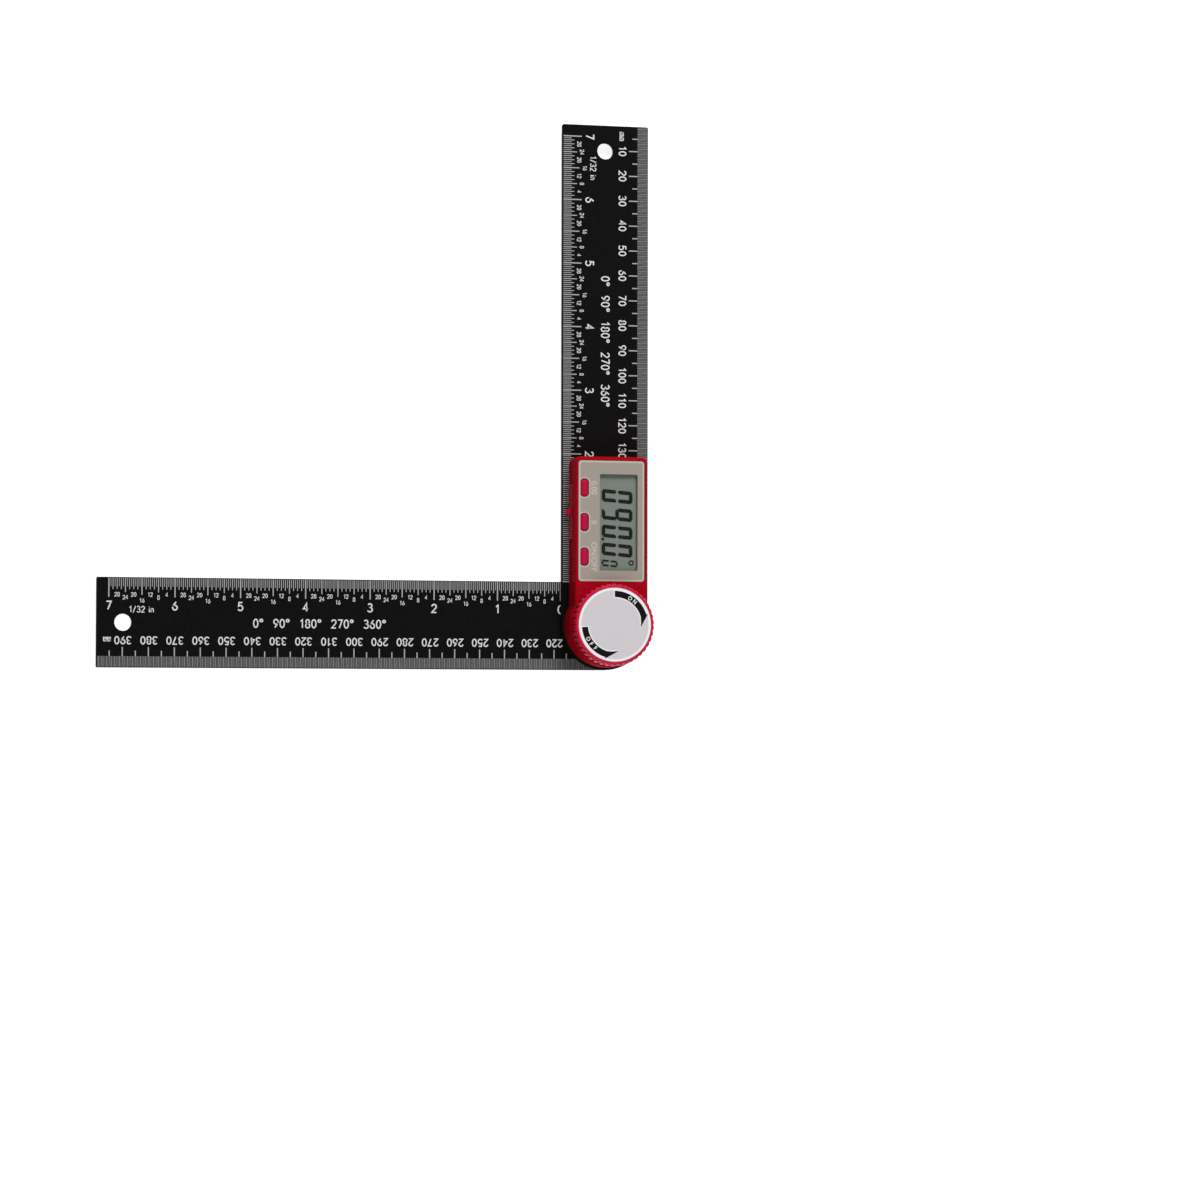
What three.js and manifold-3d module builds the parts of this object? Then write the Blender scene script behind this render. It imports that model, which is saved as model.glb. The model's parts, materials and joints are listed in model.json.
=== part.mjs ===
// Digital angle finder: two long flat arms on one pivot, with a display housing and a clamp knob.
// Millimetres, +Z up. The origin is on the pivot axis, at the underside of the lower arm.
// The display arm points along +Y and the base arm along -X, so the arms stand at 90 degrees.

import * as THREE from 'three';
import { mergeVertices } from 'three/addons/utils/BufferGeometryUtils.js';
import Module from 'manifold-3d';

const wasm = await Module();
wasm.setup();

// Arms
const armLength = 200;
const bladeWidth = 34.9;
const bladeThickness = 2.6;
const bladeGap = 0.3;
const bladeCornerRadius = 0.5;
const hangHoleRadius = 3.3;
const hangHoleInset = 10.2;

// Housing
const housingHeight = 11.5;
const housingWidth = 29.2;
const housingReach = 66.6;
const housingCornerRadius = 2.4;
const housingEndSwell = 2;
const housingEdgeBevel = 1.1;
const wallThickness = 1.2;
const roofThickness = 1.8;

// Clamp knob
const knobGap = 0.5;
const knobHeight = 6;
const knobEdgeInset = 0.4;
const knobShoulderHeight = 2.4;
const knobShoulderInset = 1;
const knobRim = 0.6;
const knobWeb = 1.4;
const knobSkirt = 2.2;
const knobHubWall = 2.2;
const notchCount = 42;
const notchRadius = 0.62;
const notchDepth = 0.45;
const notchLead = 0.5;
const discThickness = 0.8;
const discFit = 0.1;
const insertRadius = 5.2;
const insertFlat = 0.6;
const threadRadius = 2.9;
const threadFit = 0.15;

// Face plate, display window and buttons
const plateThickness = 0.8;
const plateSideBorder = 1.3;
const plateFarBorder = 1.7;
const plateKnobGap = 1;
const plateCornerRadius = 1.2;
const plateFit = 0.05;
const windowWidthShare = 0.5714;
const windowSideShare = 0.1034;
const windowNearMargin = 4.3;
const windowFarMargin = 5.4;
const windowCornerRadius = 0.7;
const lensThickness = 0.7;
const lensOverlap = 0.6;
const lensFit = 0.1;
const buttonWidthShare = 0.1165;
const buttonSideShare = 0.032;
const buttonLengthShare = 0.179;
const buttonPitchShare = 0.358;
const buttonCornerRadius = 0.95;
const buttonProud = 0.5;
const buttonFit = 0.2;
const buttonTravel = 0.6;
const buttonFlange = 0.8;
const buttonFlangeThickness = 0.5;
const buttonFlangeGap = 0.3;

// Pivot shaft, bush and washers
const flangeRadius = 9;
const flangeThickness = 0.9;
const keyAcross = 11;
const keyFit = 0.15;
const journalRadius = 4;
const runningFit = 0.15;
const washerRadius = 12;
const washerThickness = 0.8;
const bushRadius = 5.8;
const bushFlangeRadius = 7.4;
const bushFlangeThickness = 0.6;
const pressFit = 0.05;
const clipRadius = 6;
const clipThickness = 0.6;
const clipNeckDepth = 0.7;
const clipMouth = 4.6;
const stackGap = 0.3;
const clampWasherRadius = 8.6;
const clampWasherThickness = 0.6;

// Angle sensor
const hubRadius = 6.4;
const hubNoseRadius = 5.2;
const hubFlatDepth = 0.9;
const rotorBossGap = 0.9;
const rotorThickness = 0.9;
const sensorGap = 0.4;

// Coin cell and its sliding tray
const cellThickness = 3.2;
const cellOffset = 0.5;
const cellCanStep = 0.5;
const cellCapInset = 1.1;
const cellFit = 0.15;
const trayBossGap = 3.8;
const trayRim = 1.2;
const trayFloor = 0.7;
const trayLift = 0.3;
const trayBedShare = 0.75;
const trayFit = 0.3;
const doorLip = 0.7;
const doorThickness = 1.4;
const nubWidth = 2.6;
const nubHeight = 2.6;
const nubReach = 2.1;
const guideWall = 1;
const guideLip = 0.2;
const guideRearGap = 0.6;
const guideWallGap = 0.7;
const contactThickness = 0.3;
const contactWidth = 4;
const contactReach = 0.3;
const contactFoot = 3;

// Circuit board and what it carries
const boardThickness = 1;
const boardDoorGap = 0.6;
const boardSideGap = 1;
const boardFarLip = 1.35;
const boardNeckShare = 0.55;
const boardBossGap = 0.3;
const boardCornerRadius = 0.4;
const glassThickness = 1.6;
const glassMargin = 0.65;
const glassHeadroom = 0.1;
const stripWidth = 1.5;
const stripInset = 0.2;
const spacerGap = 0.2;
const spacerWall = 1.6;
const spacerCornerRadius = 0.4;
const chipSide = 7;
const chipThickness = 1.1;
const chipGuideGap = 3.5;
const crystalRadius = 0.95;
const crystalLength = 6.2;
const crystalGap = 0.05;
const switchSideInset = 0.15;
const switchEndInset = 0.7;
const switchGap = 0.1;
const plungerRadius = 0.9;
const plungerHeight = 0.4;

// Screws
const bossRadius = 2.2;
const bossBite = 0.3;
const nearScrewTurnShare = 0.108;
const screwRadius = 0.9;
const screwHeadRadius = 1.8;
const screwHeadHeight = 1;
const screwLength = 8.4;
const screwFit = 0.1;
const slotWidth = 0.5;
const slotDepth = 0.45;
const standoffGap = 0.52;
const boardScrewRadius = 0.7;
const boardScrewHeadRadius = 1.3;
const boardScrewHeadHeight = 0.7;
const boardScrewGuideGap = 4.5;
const boardScrewSideInset = 2.4;

// One overrun serves every cut
const overrun = 2;

// Facets of round forms, by size
const smallSides = 12;
const middleSides = 32;
const largeSides = 48;
const cornerTurns = 3;
const bevelSteps = 2;
const shoulderSteps = 3;

// Heights of the stack, from the underside of the base arm
const baseTop = bladeThickness;
const displayFloor = baseTop + bladeGap;
const washerFloor = displayFloor - washerThickness;
const deck = displayFloor + bladeThickness;
const roof = deck + housingHeight;
const roofUnderside = roof - roofThickness;
const plateFloor = roof - plateThickness;
const clampTop = roof + clampWasherThickness;
const knobFloor = roof + knobGap;
const knobTop = knobFloor + knobHeight;
const discFloor = knobTop - discThickness;
const webFloor = discFloor - knobWeb;
const trayBottom = deck + trayLift;
const cellBottom = trayBottom + trayFloor;
const cellTop = cellBottom + cellThickness;
const doorTop = cellTop + doorLip;
const boardFloor = doorTop + boardDoorGap;
const boardTop = boardFloor + boardThickness;
const glassTop = roofUnderside - glassHeadroom;
const glassFloor = glassTop - glassThickness;
const capFlangeTop = roofUnderside - buttonFlangeGap;
const capFloor = capFlangeTop - buttonFlangeThickness;
const plungerTop = capFloor - buttonTravel - switchGap;
const rotorTop = boardFloor - sensorGap;
const rotorFloor = rotorTop - rotorThickness;
const bushTop = deck + bushFlangeThickness;
const clipFloor = bushTop + stackGap;
const clipTop = clipFloor + clipThickness;
const hubFloor = clipTop + stackGap;

// Places in plan
const keyRadius = keyAcross / 2 / Math.cos(Math.PI / 6);
const housingEndRadius = housingWidth / 2 + housingEndSwell;
const knobRadius = housingEndRadius - knobEdgeInset;
const knobTopRadius = knobRadius - knobShoulderInset;
const discRadius = knobTopRadius - knobRim;
const plateWidth = housingWidth - 2 * plateSideBorder;
const plateNear = knobRadius + plateKnobGap;
const plateFar = housingReach - plateFarBorder;
const plateCentre = (plateNear + plateFar) / 2;
const plateLength = plateFar - plateNear;
const windowNear = plateNear + windowNearMargin;
const windowFar = plateFar - windowFarMargin;
const windowCentre = (windowNear + windowFar) / 2;
const windowLength = windowFar - windowNear;
const windowWidth = plateWidth * windowWidthShare;
const windowSideMargin = plateWidth * windowSideShare;
const windowOffset = plateWidth / 2 - windowSideMargin - windowWidth / 2;
const glassHalfWidth = windowWidth / 2 + glassMargin;
const glassEdge = windowOffset - glassHalfWidth;
const buttonWidth = plateWidth * buttonWidthShare;
const buttonLength = windowLength * buttonLengthShare;
const buttonPitch = windowLength * buttonPitchShare;
const buttonSideMargin = plateWidth * buttonSideShare;
const buttonOffset = -(plateWidth / 2 - buttonSideMargin - buttonWidth / 2);
const buttonEdge = buttonOffset + buttonWidth / 2;
const standoffOffset = (buttonEdge + glassEdge) / 2;
const standoffRadius = (glassEdge - buttonEdge) / 2 - standoffGap;
const doorOuter = -housingWidth / 2;
const innerHalfWidth = housingWidth / 2 - wallThickness;
const innerReach = housingReach - wallThickness;
const bossOffset = innerHalfWidth - bossRadius + bossBite;
const farBossReach = innerReach - bossRadius + bossBite;
const nearBossReach = housingEndRadius - wallThickness - bossRadius + bossBite;
const rotorRadius = nearBossReach - bossRadius - rotorBossGap;
const boardWidth = 2 * (innerHalfWidth - boardSideGap);
const boardEndRadius = nearBossReach - bossRadius - boardBossGap;
const boardFar = windowFar + glassMargin + boardFarLip;
const guideRear = innerHalfWidth - guideWallGap;
const rimFace = guideRear - guideWall - guideRearGap - contactThickness;
const cellRadius = rimFace - contactReach - cellOffset;
const trayHalfWidth = cellRadius + trayRim;
const trayRear = cellOffset + cellRadius * trayBedShare;
const guideHalfWidth = trayHalfWidth + trayFit + guideWall;
const trayMiddle = farBossReach - bossRadius - trayBossGap - guideHalfWidth;
const guideNear = trayMiddle - guideHalfWidth;
const chipMiddle = guideNear - chipGuideGap - chipSide / 2;

// Geometry helpers

function toSolid(geometry) {
  const bare = geometry.clone();
  bare.deleteAttribute('normal');
  bare.deleteAttribute('uv');
  const merged = mergeVertices(bare);
  const mesh = new wasm.Mesh({
    numProp: 3,
    vertProperties: new Float32Array(merged.attributes.position.array),
    triVerts: new Uint32Array(merged.index.array),
  });
  mesh.merge();
  return new wasm.Manifold(mesh);
}

function toGeometry(solid) {
  const mesh = solid.getMesh();
  const geometry = new THREE.BufferGeometry();
  geometry.setAttribute('position', new THREE.BufferAttribute(new Float32Array(mesh.vertProperties), 3));
  geometry.setIndex(new THREE.BufferAttribute(new Uint32Array(mesh.triVerts), 1));
  geometry.computeVertexNormals();
  return geometry;
}

function prism(shape, low, high) {
  const options = { depth: high - low, bevelEnabled: false, curveSegments: cornerTurns };
  const geometry = new THREE.ExtrudeGeometry(shape, options);
  geometry.translate(0, 0, low);
  return toSolid(geometry);
}

// An upright frustum about a point in plan. It is a cylinder unless the two radii differ.
function frustum(lowRadius, highRadius, low, high, [x, y], sides) {
  const geometry = new THREE.CylinderGeometry(highRadius, lowRadius, high - low, sides);
  geometry.rotateX(Math.PI / 2);
  geometry.translate(x, y, (low + high) / 2);
  return toSolid(geometry);
}

function drum(radius, low, high, place = [0, 0], sides = middleSides) {
  return frustum(radius, radius, low, high, place, sides);
}

function wideDrum(radius, low, high) {
  return drum(radius, low, high, [0, 0], largeSides);
}

function smallDrum(radius, low, high, place) {
  return drum(radius, low, high, place, smallSides);
}

function tube(outer, inner, low, high) {
  return drum(outer, low, high).subtract(drum(inner, low - overrun, high + overrun));
}

function hexagon(radius, low, high) {
  return drum(radius, low, high, [0, 0], 6);
}

function block(left, right, near, far, low, high) {
  const geometry = new THREE.BoxGeometry(right - left, far - near, high - low);
  geometry.translate((left + right) / 2, (near + far) / 2, (low + high) / 2);
  return toSolid(geometry);
}

// A rectangle with rounded corners, centred on a point.
function roundedRectangle(width, length, radius, [x, y]) {
  const right = width / 2 - radius;
  const far = length / 2 - radius;
  const shape = new THREE.Shape();
  shape.absarc(x + right, y - far, radius, -Math.PI / 2, 0);
  shape.absarc(x + right, y + far, radius, 0, Math.PI / 2);
  shape.absarc(x - right, y + far, radius, Math.PI / 2, Math.PI);
  shape.absarc(x - right, y - far, radius, Math.PI, Math.PI * 1.5);
  return shape;
}

// A flat arm along +Y: round about the pivot, with small corners and a hang hole at the far end.
function armPlate(low, high) {
  const half = bladeWidth / 2;
  const inset = half - bladeCornerRadius;
  const far = armLength - bladeCornerRadius;
  const shape = new THREE.Shape();
  shape.absarc(inset, far, bladeCornerRadius, 0, Math.PI / 2);
  shape.absarc(-inset, far, bladeCornerRadius, Math.PI / 2, Math.PI);
  shape.lineTo(-half, 0);
  shape.lineTo(half, 0);
  const hangHole = drum(hangHoleRadius, low - overrun, high + overrun, [0, armLength - hangHoleInset]);
  return prism(shape, low, high).add(wideDrum(half, low, high)).subtract(hangHole);
}

// The housing's form is a box with rounded far corners, joined to a round end about the pivot.
function housingForm(inset, low, high) {
  const width = housingWidth - 2 * inset;
  const far = housingReach - inset;
  const radius = housingCornerRadius - inset / 2;
  const outline = roundedRectangle(width, far + 2 * radius, radius, [0, far / 2 - radius]);
  const keep = block(-width, width, 0, far + overrun, low - overrun, high + overrun);
  return prism(outline, low, high).intersect(keep).add(wideDrum(housingEndRadius - inset, low, high));
}

function screwPlaces() {
  const turn = Math.PI * 2 * nearScrewTurnShare;
  const nearOffset = nearBossReach * Math.sin(turn);
  const near = -nearBossReach * Math.cos(turn);
  return [
    [-bossOffset, farBossReach],
    [bossOffset, farBossReach],
    [-nearOffset, near],
    [nearOffset, near],
  ];
}

// Two standoffs stand between the buttons and the window, and one on the other side near the knob.
function boardScrewPlaces() {
  return [
    [standoffOffset, guideNear - boardScrewGuideGap],
    [boardWidth / 2 - boardScrewSideInset, plateNear],
    [standoffOffset, windowFar],
  ];
}

function buttonPlaces() {
  return [1, 0, -1].map((step) => [buttonOffset, windowCentre + step * buttonPitch]);
}

// Base arm

function baseBlade() {
  return armPlate(0, baseTop)
    .subtract(drum(flangeRadius + pressFit, -overrun, flangeThickness))
    .subtract(hexagon(keyRadius + keyFit, -overrun, baseTop + overrun))
    .subtract(drum(washerRadius + stackGap, washerFloor, baseTop + overrun))
    .rotate([0, 0, 90]);
}

// A flange below, a hexagon key in the base arm, a journal with a clip groove and a flat, and a thread.
function pivotShaft() {
  const journal = drum(journalRadius, 0, rotorTop)
    .subtract(tube(journalRadius + overrun, journalRadius - clipNeckDepth, clipFloor, clipTop))
    .subtract(block(journalRadius - hubFlatDepth, journalRadius + overrun, -journalRadius, journalRadius,
      hubFloor, rotorTop + overrun));
  return journal
    .add(drum(flangeRadius, 0, flangeThickness))
    .add(hexagon(keyRadius, 0, washerFloor).rotate([0, 0, 90]))
    .add(drum(threadRadius, 0, webFloor - stackGap));
}

function frictionWasher() {
  return tube(washerRadius, journalRadius + stackGap, washerFloor, displayFloor);
}

function retainingClip() {
  const mouth = block(-clipMouth / 2, clipMouth / 2, 0, clipRadius + overrun, clipFloor - overrun,
    clipTop + overrun);
  return tube(clipRadius, journalRadius - clipNeckDepth, clipFloor, clipTop).subtract(mouth);
}

function rotorHub() {
  const seat = journalRadius + runningFit;
  const land = block(journalRadius - hubFlatDepth + runningFit, seat + overrun, -seat, seat,
    hubFloor - 2 * overrun, rotorTop + 2 * overrun);
  const bore = drum(seat, hubFloor - overrun, rotorTop + overrun).subtract(land);
  return drum(hubRadius, hubFloor, rotorFloor)
    .add(drum(hubNoseRadius, rotorFloor, rotorTop))
    .subtract(bore);
}

function encoderRotor() {
  return tube(rotorRadius, hubNoseRadius + pressFit, rotorFloor, rotorTop);
}

// Display arm

function screwSink(place) {
  const headRadius = screwHeadRadius + screwFit;
  const shankRadius = screwRadius + screwFit;
  return frustum(headRadius, shankRadius, displayFloor, displayFloor + screwHeadHeight, place, smallSides)
    .add(smallDrum(headRadius, displayFloor - overrun, displayFloor, place))
    .add(smallDrum(shankRadius, displayFloor, deck + overrun, place));
}

function displayBlade() {
  let blade = armPlate(displayFloor, deck)
    .subtract(drum(bushRadius + pressFit, displayFloor - overrun, deck + overrun));
  for (const place of screwPlaces()) {
    blade = blade.subtract(screwSink(place));
  }
  return blade;
}

function pivotBush() {
  return drum(bushRadius, displayFloor, deck)
    .add(drum(bushFlangeRadius, deck, bushTop))
    .subtract(drum(journalRadius + runningFit, displayFloor - overrun, bushTop + overrun));
}

// The outer form narrows in steps round the top edge.
function housingOuter() {
  const bevelFloor = roof - housingEdgeBevel;
  let outer = housingForm(0, deck, bevelFloor);
  for (let step = 0; step < bevelSteps; step += 1) {
    const turn = ((Math.PI / 2) * step) / bevelSteps;
    const nextTurn = ((Math.PI / 2) * (step + 1)) / bevelSteps;
    const low = bevelFloor + housingEdgeBevel * Math.sin(turn);
    const high = bevelFloor + housingEdgeBevel * Math.sin(nextTurn);
    const inset = housingEdgeBevel * (1 - Math.cos((turn + nextTurn) / 2));
    outer = outer.add(housingForm(inset, low, high));
  }
  return outer;
}

// The case is open below, where the display arm closes it.
function housingShell() {
  const outer = housingOuter();
  const rootLevel = roofUnderside + overrun;
  let shell = outer.subtract(housingForm(wallThickness, deck - overrun, roofUnderside));
  for (const place of screwPlaces()) {
    shell = shell.add(drum(bossRadius, deck, rootLevel, place, smallSides * 2));
  }
  for (const place of boardScrewPlaces()) {
    shell = shell.add(smallDrum(standoffRadius, boardTop, rootLevel, place));
  }
  return cutHousingScrewHoles(cutHousingOpenings(shell.intersect(outer)));
}

function cutHousingOpenings(shell) {
  const middle = [0, plateCentre];
  const recess = roundedRectangle(plateWidth + 2 * plateFit, plateLength + 2 * plateFit,
    plateCornerRadius + plateFit, middle);
  const lensGrowth = 2 * (lensOverlap + lensFit);
  const lensOpening = roundedRectangle(windowWidth + lensGrowth, windowLength + lensGrowth,
    windowCornerRadius + lensFit, [windowOffset, windowCentre]);
  const doorGap = trayHalfWidth + trayFit;
  const doorway = block(doorOuter - overrun, doorOuter + wallThickness + overrun, trayMiddle - doorGap,
    trayMiddle + doorGap, deck - overrun, doorTop + trayFit);
  let cut = shell
    .subtract(prism(recess, plateFloor, roof + overrun))
    .subtract(prism(lensOpening, roofUnderside - overrun, roof + overrun))
    .subtract(drum(threadRadius + stackGap, roofUnderside - overrun, roof + overrun))
    .subtract(doorway);
  for (const place of buttonPlaces()) {
    cut = cut.subtract(prism(buttonHole(place), roofUnderside - overrun, roof + overrun));
  }
  return cut;
}

function cutHousingScrewHoles(shell) {
  const screwEnd = displayFloor + screwLength + screwFit;
  let cut = shell;
  for (const place of screwPlaces()) {
    cut = cut.subtract(smallDrum(screwRadius + screwFit, deck - overrun, screwEnd, place));
  }
  for (const place of boardScrewPlaces()) {
    cut = cut.subtract(smallDrum(boardScrewRadius + screwFit, boardTop - screwFit, roofUnderside, place));
  }
  return cut;
}

function buttonHole(place) {
  const growth = 2 * buttonFit;
  return roundedRectangle(buttonWidth + growth, buttonLength + growth, buttonCornerRadius + buttonFit,
    place);
}

function facePlate() {
  const outline = roundedRectangle(plateWidth, plateLength, plateCornerRadius, [0, plateCentre]);
  const opening = roundedRectangle(windowWidth, windowLength, windowCornerRadius,
    [windowOffset, windowCentre]);
  let plate = prism(outline, plateFloor, roof)
    .subtract(prism(opening, plateFloor - overrun, roof + overrun));
  for (const place of buttonPlaces()) {
    plate = plate.subtract(prism(buttonHole(place), plateFloor - overrun, roof + overrun));
  }
  return plate;
}

function displayLens() {
  const growth = 2 * lensOverlap;
  const outline = roundedRectangle(windowWidth + growth, windowLength + growth, windowCornerRadius,
    [windowOffset, windowCentre]);
  return prism(outline, plateFloor - lensThickness, plateFloor);
}

function displayGlass() {
  return block(windowOffset - glassHalfWidth, windowOffset + glassHalfWidth, windowNear - glassMargin,
    windowFar + glassMargin, glassFloor, glassTop);
}

// A soft strip under each long edge of the glass joins its contacts to the board.
function contactStrip(side) {
  const outer = windowOffset + side * (glassHalfWidth - stripInset);
  const inner = outer - side * stripWidth;
  return block(Math.min(outer, inner), Math.max(outer, inner), windowNear, windowFar, boardTop, glassFloor);
}

function displaySpacer() {
  const place = [windowOffset, windowCentre];
  const width = 2 * (glassHalfWidth - stripInset - stripWidth - spacerGap);
  const length = windowLength - 2 * spacerGap;
  const outer = roundedRectangle(width, length, spacerCornerRadius, place);
  const inner = roundedRectangle(width - 2 * spacerWall, length - 2 * spacerWall, spacerCornerRadius,
    place);
  return prism(outer, boardTop, glassFloor)
    .subtract(prism(inner, boardTop - overrun, glassFloor + overrun));
}

function circuitBoard() {
  const near = boardEndRadius * boardNeckShare;
  const outline = roundedRectangle(boardWidth, boardFar - near, boardCornerRadius,
    [0, (near + boardFar) / 2]);
  let board = prism(outline, boardFloor, boardTop)
    .add(drum(boardEndRadius, boardFloor, boardTop))
    .subtract(drum(journalRadius + stackGap, boardFloor - overrun, boardTop + overrun));
  for (const place of screwPlaces()) {
    board = board.subtract(drum(bossRadius + boardBossGap, boardFloor - overrun, boardTop + overrun, place,
      smallSides * 2));
  }
  for (const place of boardScrewPlaces()) {
    board = board.subtract(smallDrum(boardScrewRadius + screwFit, boardFloor - overrun, boardTop + overrun,
      place));
  }
  return board;
}

function controllerChip() {
  const half = chipSide / 2;
  return block(windowOffset - half, windowOffset + half, chipMiddle - half, chipMiddle + half,
    boardFloor - chipThickness, boardFloor);
}

// The crystal's can lies across the board, beside the chip.
function timingCrystal() {
  const geometry = new THREE.CylinderGeometry(crystalRadius, crystalRadius, crystalLength, smallSides);
  geometry.rotateZ(Math.PI / 2);
  const x = windowOffset - chipSide / 2 - crystalLength;
  geometry.translate(x, chipMiddle, boardFloor - crystalRadius - crystalGap);
  return toSolid(geometry);
}

function buttonSwitch([x, y]) {
  const bodyTop = plungerTop - plungerHeight;
  const halfWidth = buttonWidth / 2 - switchSideInset;
  const halfLength = buttonLength / 2 - switchEndInset;
  return block(x - halfWidth, x + halfWidth, y - halfLength, y + halfLength, boardTop, bodyTop)
    .add(smallDrum(plungerRadius, boardTop, plungerTop, [x, y]));
}

function buttonCap(place) {
  const flangeLength = buttonLength + 2 * buttonFlange;
  const stem = roundedRectangle(buttonWidth, buttonLength, buttonCornerRadius, place);
  const flange = roundedRectangle(buttonWidth, flangeLength, buttonCornerRadius, place);
  return prism(stem, capFloor, roof + buttonProud).add(prism(flange, capFloor, capFlangeTop));
}

// A countersunk screw driven upward, with a slot across its head.
function housingScrew([x, y]) {
  const low = displayFloor;
  const slot = block(x - slotWidth / 2, x + slotWidth / 2, y - screwHeadRadius, y + screwHeadRadius,
    low - overrun, low + slotDepth);
  return frustum(screwHeadRadius, screwRadius, low, low + screwHeadHeight, [x, y], smallSides)
    .add(smallDrum(screwRadius, low, low + screwLength, [x, y]))
    .subtract(slot);
}

function boardScrew([x, y]) {
  const low = boardFloor - boardScrewHeadHeight;
  const slot = block(x - boardScrewHeadRadius, x + boardScrewHeadRadius, y - slotWidth / 2,
    y + slotWidth / 2, low - overrun, low + slotDepth);
  return smallDrum(boardScrewHeadRadius, low, boardFloor, [x, y])
    .add(smallDrum(boardScrewRadius, low, roofUnderside - screwFit, [x, y]))
    .subtract(slot);
}

// The guide is a three-sided wall that stands on the arm round the battery tray.
function trayGuide() {
  const inner = trayHalfWidth + trayFit;
  const left = doorOuter + wallThickness + stackGap;
  const top = cellTop + guideLip;
  return block(left, guideRear, guideNear, trayMiddle + guideHalfWidth, deck, top)
    .subtract(block(left - overrun, guideRear - guideWall, trayMiddle - inner, trayMiddle + inner,
      deck - overrun, top + overrun));
}

// A leaf under the board that bears down on the cell's upper face.
function upperContact() {
  const low = cellTop + contactReach;
  const seat = boardFloor - contactThickness;
  const tip = cellOffset + contactFoot;
  const shape = new THREE.Shape();
  shape.moveTo(cellOffset - contactFoot, boardFloor);
  shape.lineTo(cellOffset - contactFoot, seat);
  shape.lineTo(cellOffset, seat);
  shape.lineTo(tip, low);
  shape.lineTo(tip + contactThickness, low + contactThickness);
  shape.lineTo(cellOffset + contactThickness, boardFloor);
  return standingStrip(shape);
}

// A leaf that hangs from the board behind the cell and bears on its rim.
function rimContact() {
  const seat = boardFloor - contactThickness;
  const shape = new THREE.Shape();
  shape.moveTo(rimFace - contactFoot, boardFloor);
  shape.lineTo(rimFace - contactFoot, seat);
  shape.lineTo(rimFace, seat);
  shape.lineTo(rimFace, cellBottom);
  shape.lineTo(rimFace + contactThickness, cellBottom);
  shape.lineTo(rimFace + contactThickness, boardFloor);
  return standingStrip(shape);
}

// Extrudes a profile drawn in X and Z across the tray's middle.
function standingStrip(shape) {
  const geometry = new THREE.ExtrudeGeometry(shape, { depth: contactWidth, bevelEnabled: false });
  geometry.rotateX(Math.PI / 2);
  geometry.translate(0, trayMiddle + contactWidth / 2, 0);
  return toSolid(geometry);
}

// Battery tray

function batteryTray() {
  const near = trayMiddle - trayHalfWidth;
  const far = trayMiddle + trayHalfWidth;
  const doorInner = doorOuter + doorThickness;
  const nubMiddle = (trayBottom + doorTop) / 2;
  const pocket = drum(cellRadius + cellFit, cellBottom, cellTop + overrun, [cellOffset, trayMiddle]);
  const nub = block(doorOuter - nubReach, doorInner, trayMiddle - nubWidth / 2, trayMiddle + nubWidth / 2,
    nubMiddle - nubHeight / 2, nubMiddle + nubHeight / 2);
  return block(doorOuter, trayRear, near, far, trayBottom, cellTop)
    .subtract(pocket)
    .add(block(doorOuter, doorInner, near, far, trayBottom, doorTop))
    .add(nub);
}

function coinCell() {
  const place = [cellOffset, trayMiddle];
  const canTop = cellTop - cellCanStep;
  return drum(cellRadius, cellBottom, canTop, place)
    .add(drum(cellRadius - cellCapInset, cellBottom, cellTop, place));
}

// Clamp knob

function knobForm() {
  const profile = [new THREE.Vector2(0, knobFloor), new THREE.Vector2(knobRadius, knobFloor)];
  for (let step = 0; step <= shoulderSteps; step += 1) {
    const turn = ((Math.PI / 2) * step) / shoulderSteps;
    const radius = knobTopRadius + knobShoulderInset * Math.cos(turn);
    const height = knobTop - knobShoulderHeight * (1 - Math.sin(turn));
    profile.push(new THREE.Vector2(radius, height));
  }
  profile.push(new THREE.Vector2(0, knobTop));
  const lathe = new THREE.LatheGeometry(profile, notchCount);
  lathe.rotateX(Math.PI / 2);
  return toSolid(lathe);
}

function knobBody() {
  const notchTop = knobTop - knobShoulderHeight + notchLead;
  const notchReach = knobRadius + notchRadius - notchDepth;
  let body = knobForm();
  for (let index = 0; index < notchCount; index += 1) {
    const turn = (Math.PI * 2 * (index + 0.5)) / notchCount;
    const place = [notchReach * Math.cos(turn), notchReach * Math.sin(turn)];
    body = body.subtract(drum(notchRadius, knobFloor - overrun, notchTop, place, 6));
  }
  const hollow = tube(knobRadius - knobSkirt, insertRadius + knobHubWall, knobFloor - overrun, webFloor);
  return body
    .subtract(wideDrum(discRadius + discFit, discFloor, knobTop + overrun))
    .subtract(hollow)
    .subtract(insertForm(insertRadius + pressFit, knobFloor - overrun, webFloor))
    .subtract(drum(clampWasherRadius + stackGap, knobFloor - overrun, clampTop));
}

// The insert is a round nut with six flats that the knob is moulded round.
function insertForm(radius, low, high) {
  const corner = (radius - insertFlat) / Math.cos(Math.PI / 6);
  return drum(radius, low, high).intersect(hexagon(corner, low, high));
}

function threadedInsert() {
  return insertForm(insertRadius, clampTop, webFloor)
    .subtract(drum(threadRadius + threadFit, clampTop - overrun, webFloor + overrun));
}

function knobDisc() {
  return wideDrum(discRadius, discFloor, knobTop);
}

function clampWasher() {
  return tube(clampWasherRadius, threadRadius + stackGap, roof, clampTop);
}

// Materials

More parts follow.
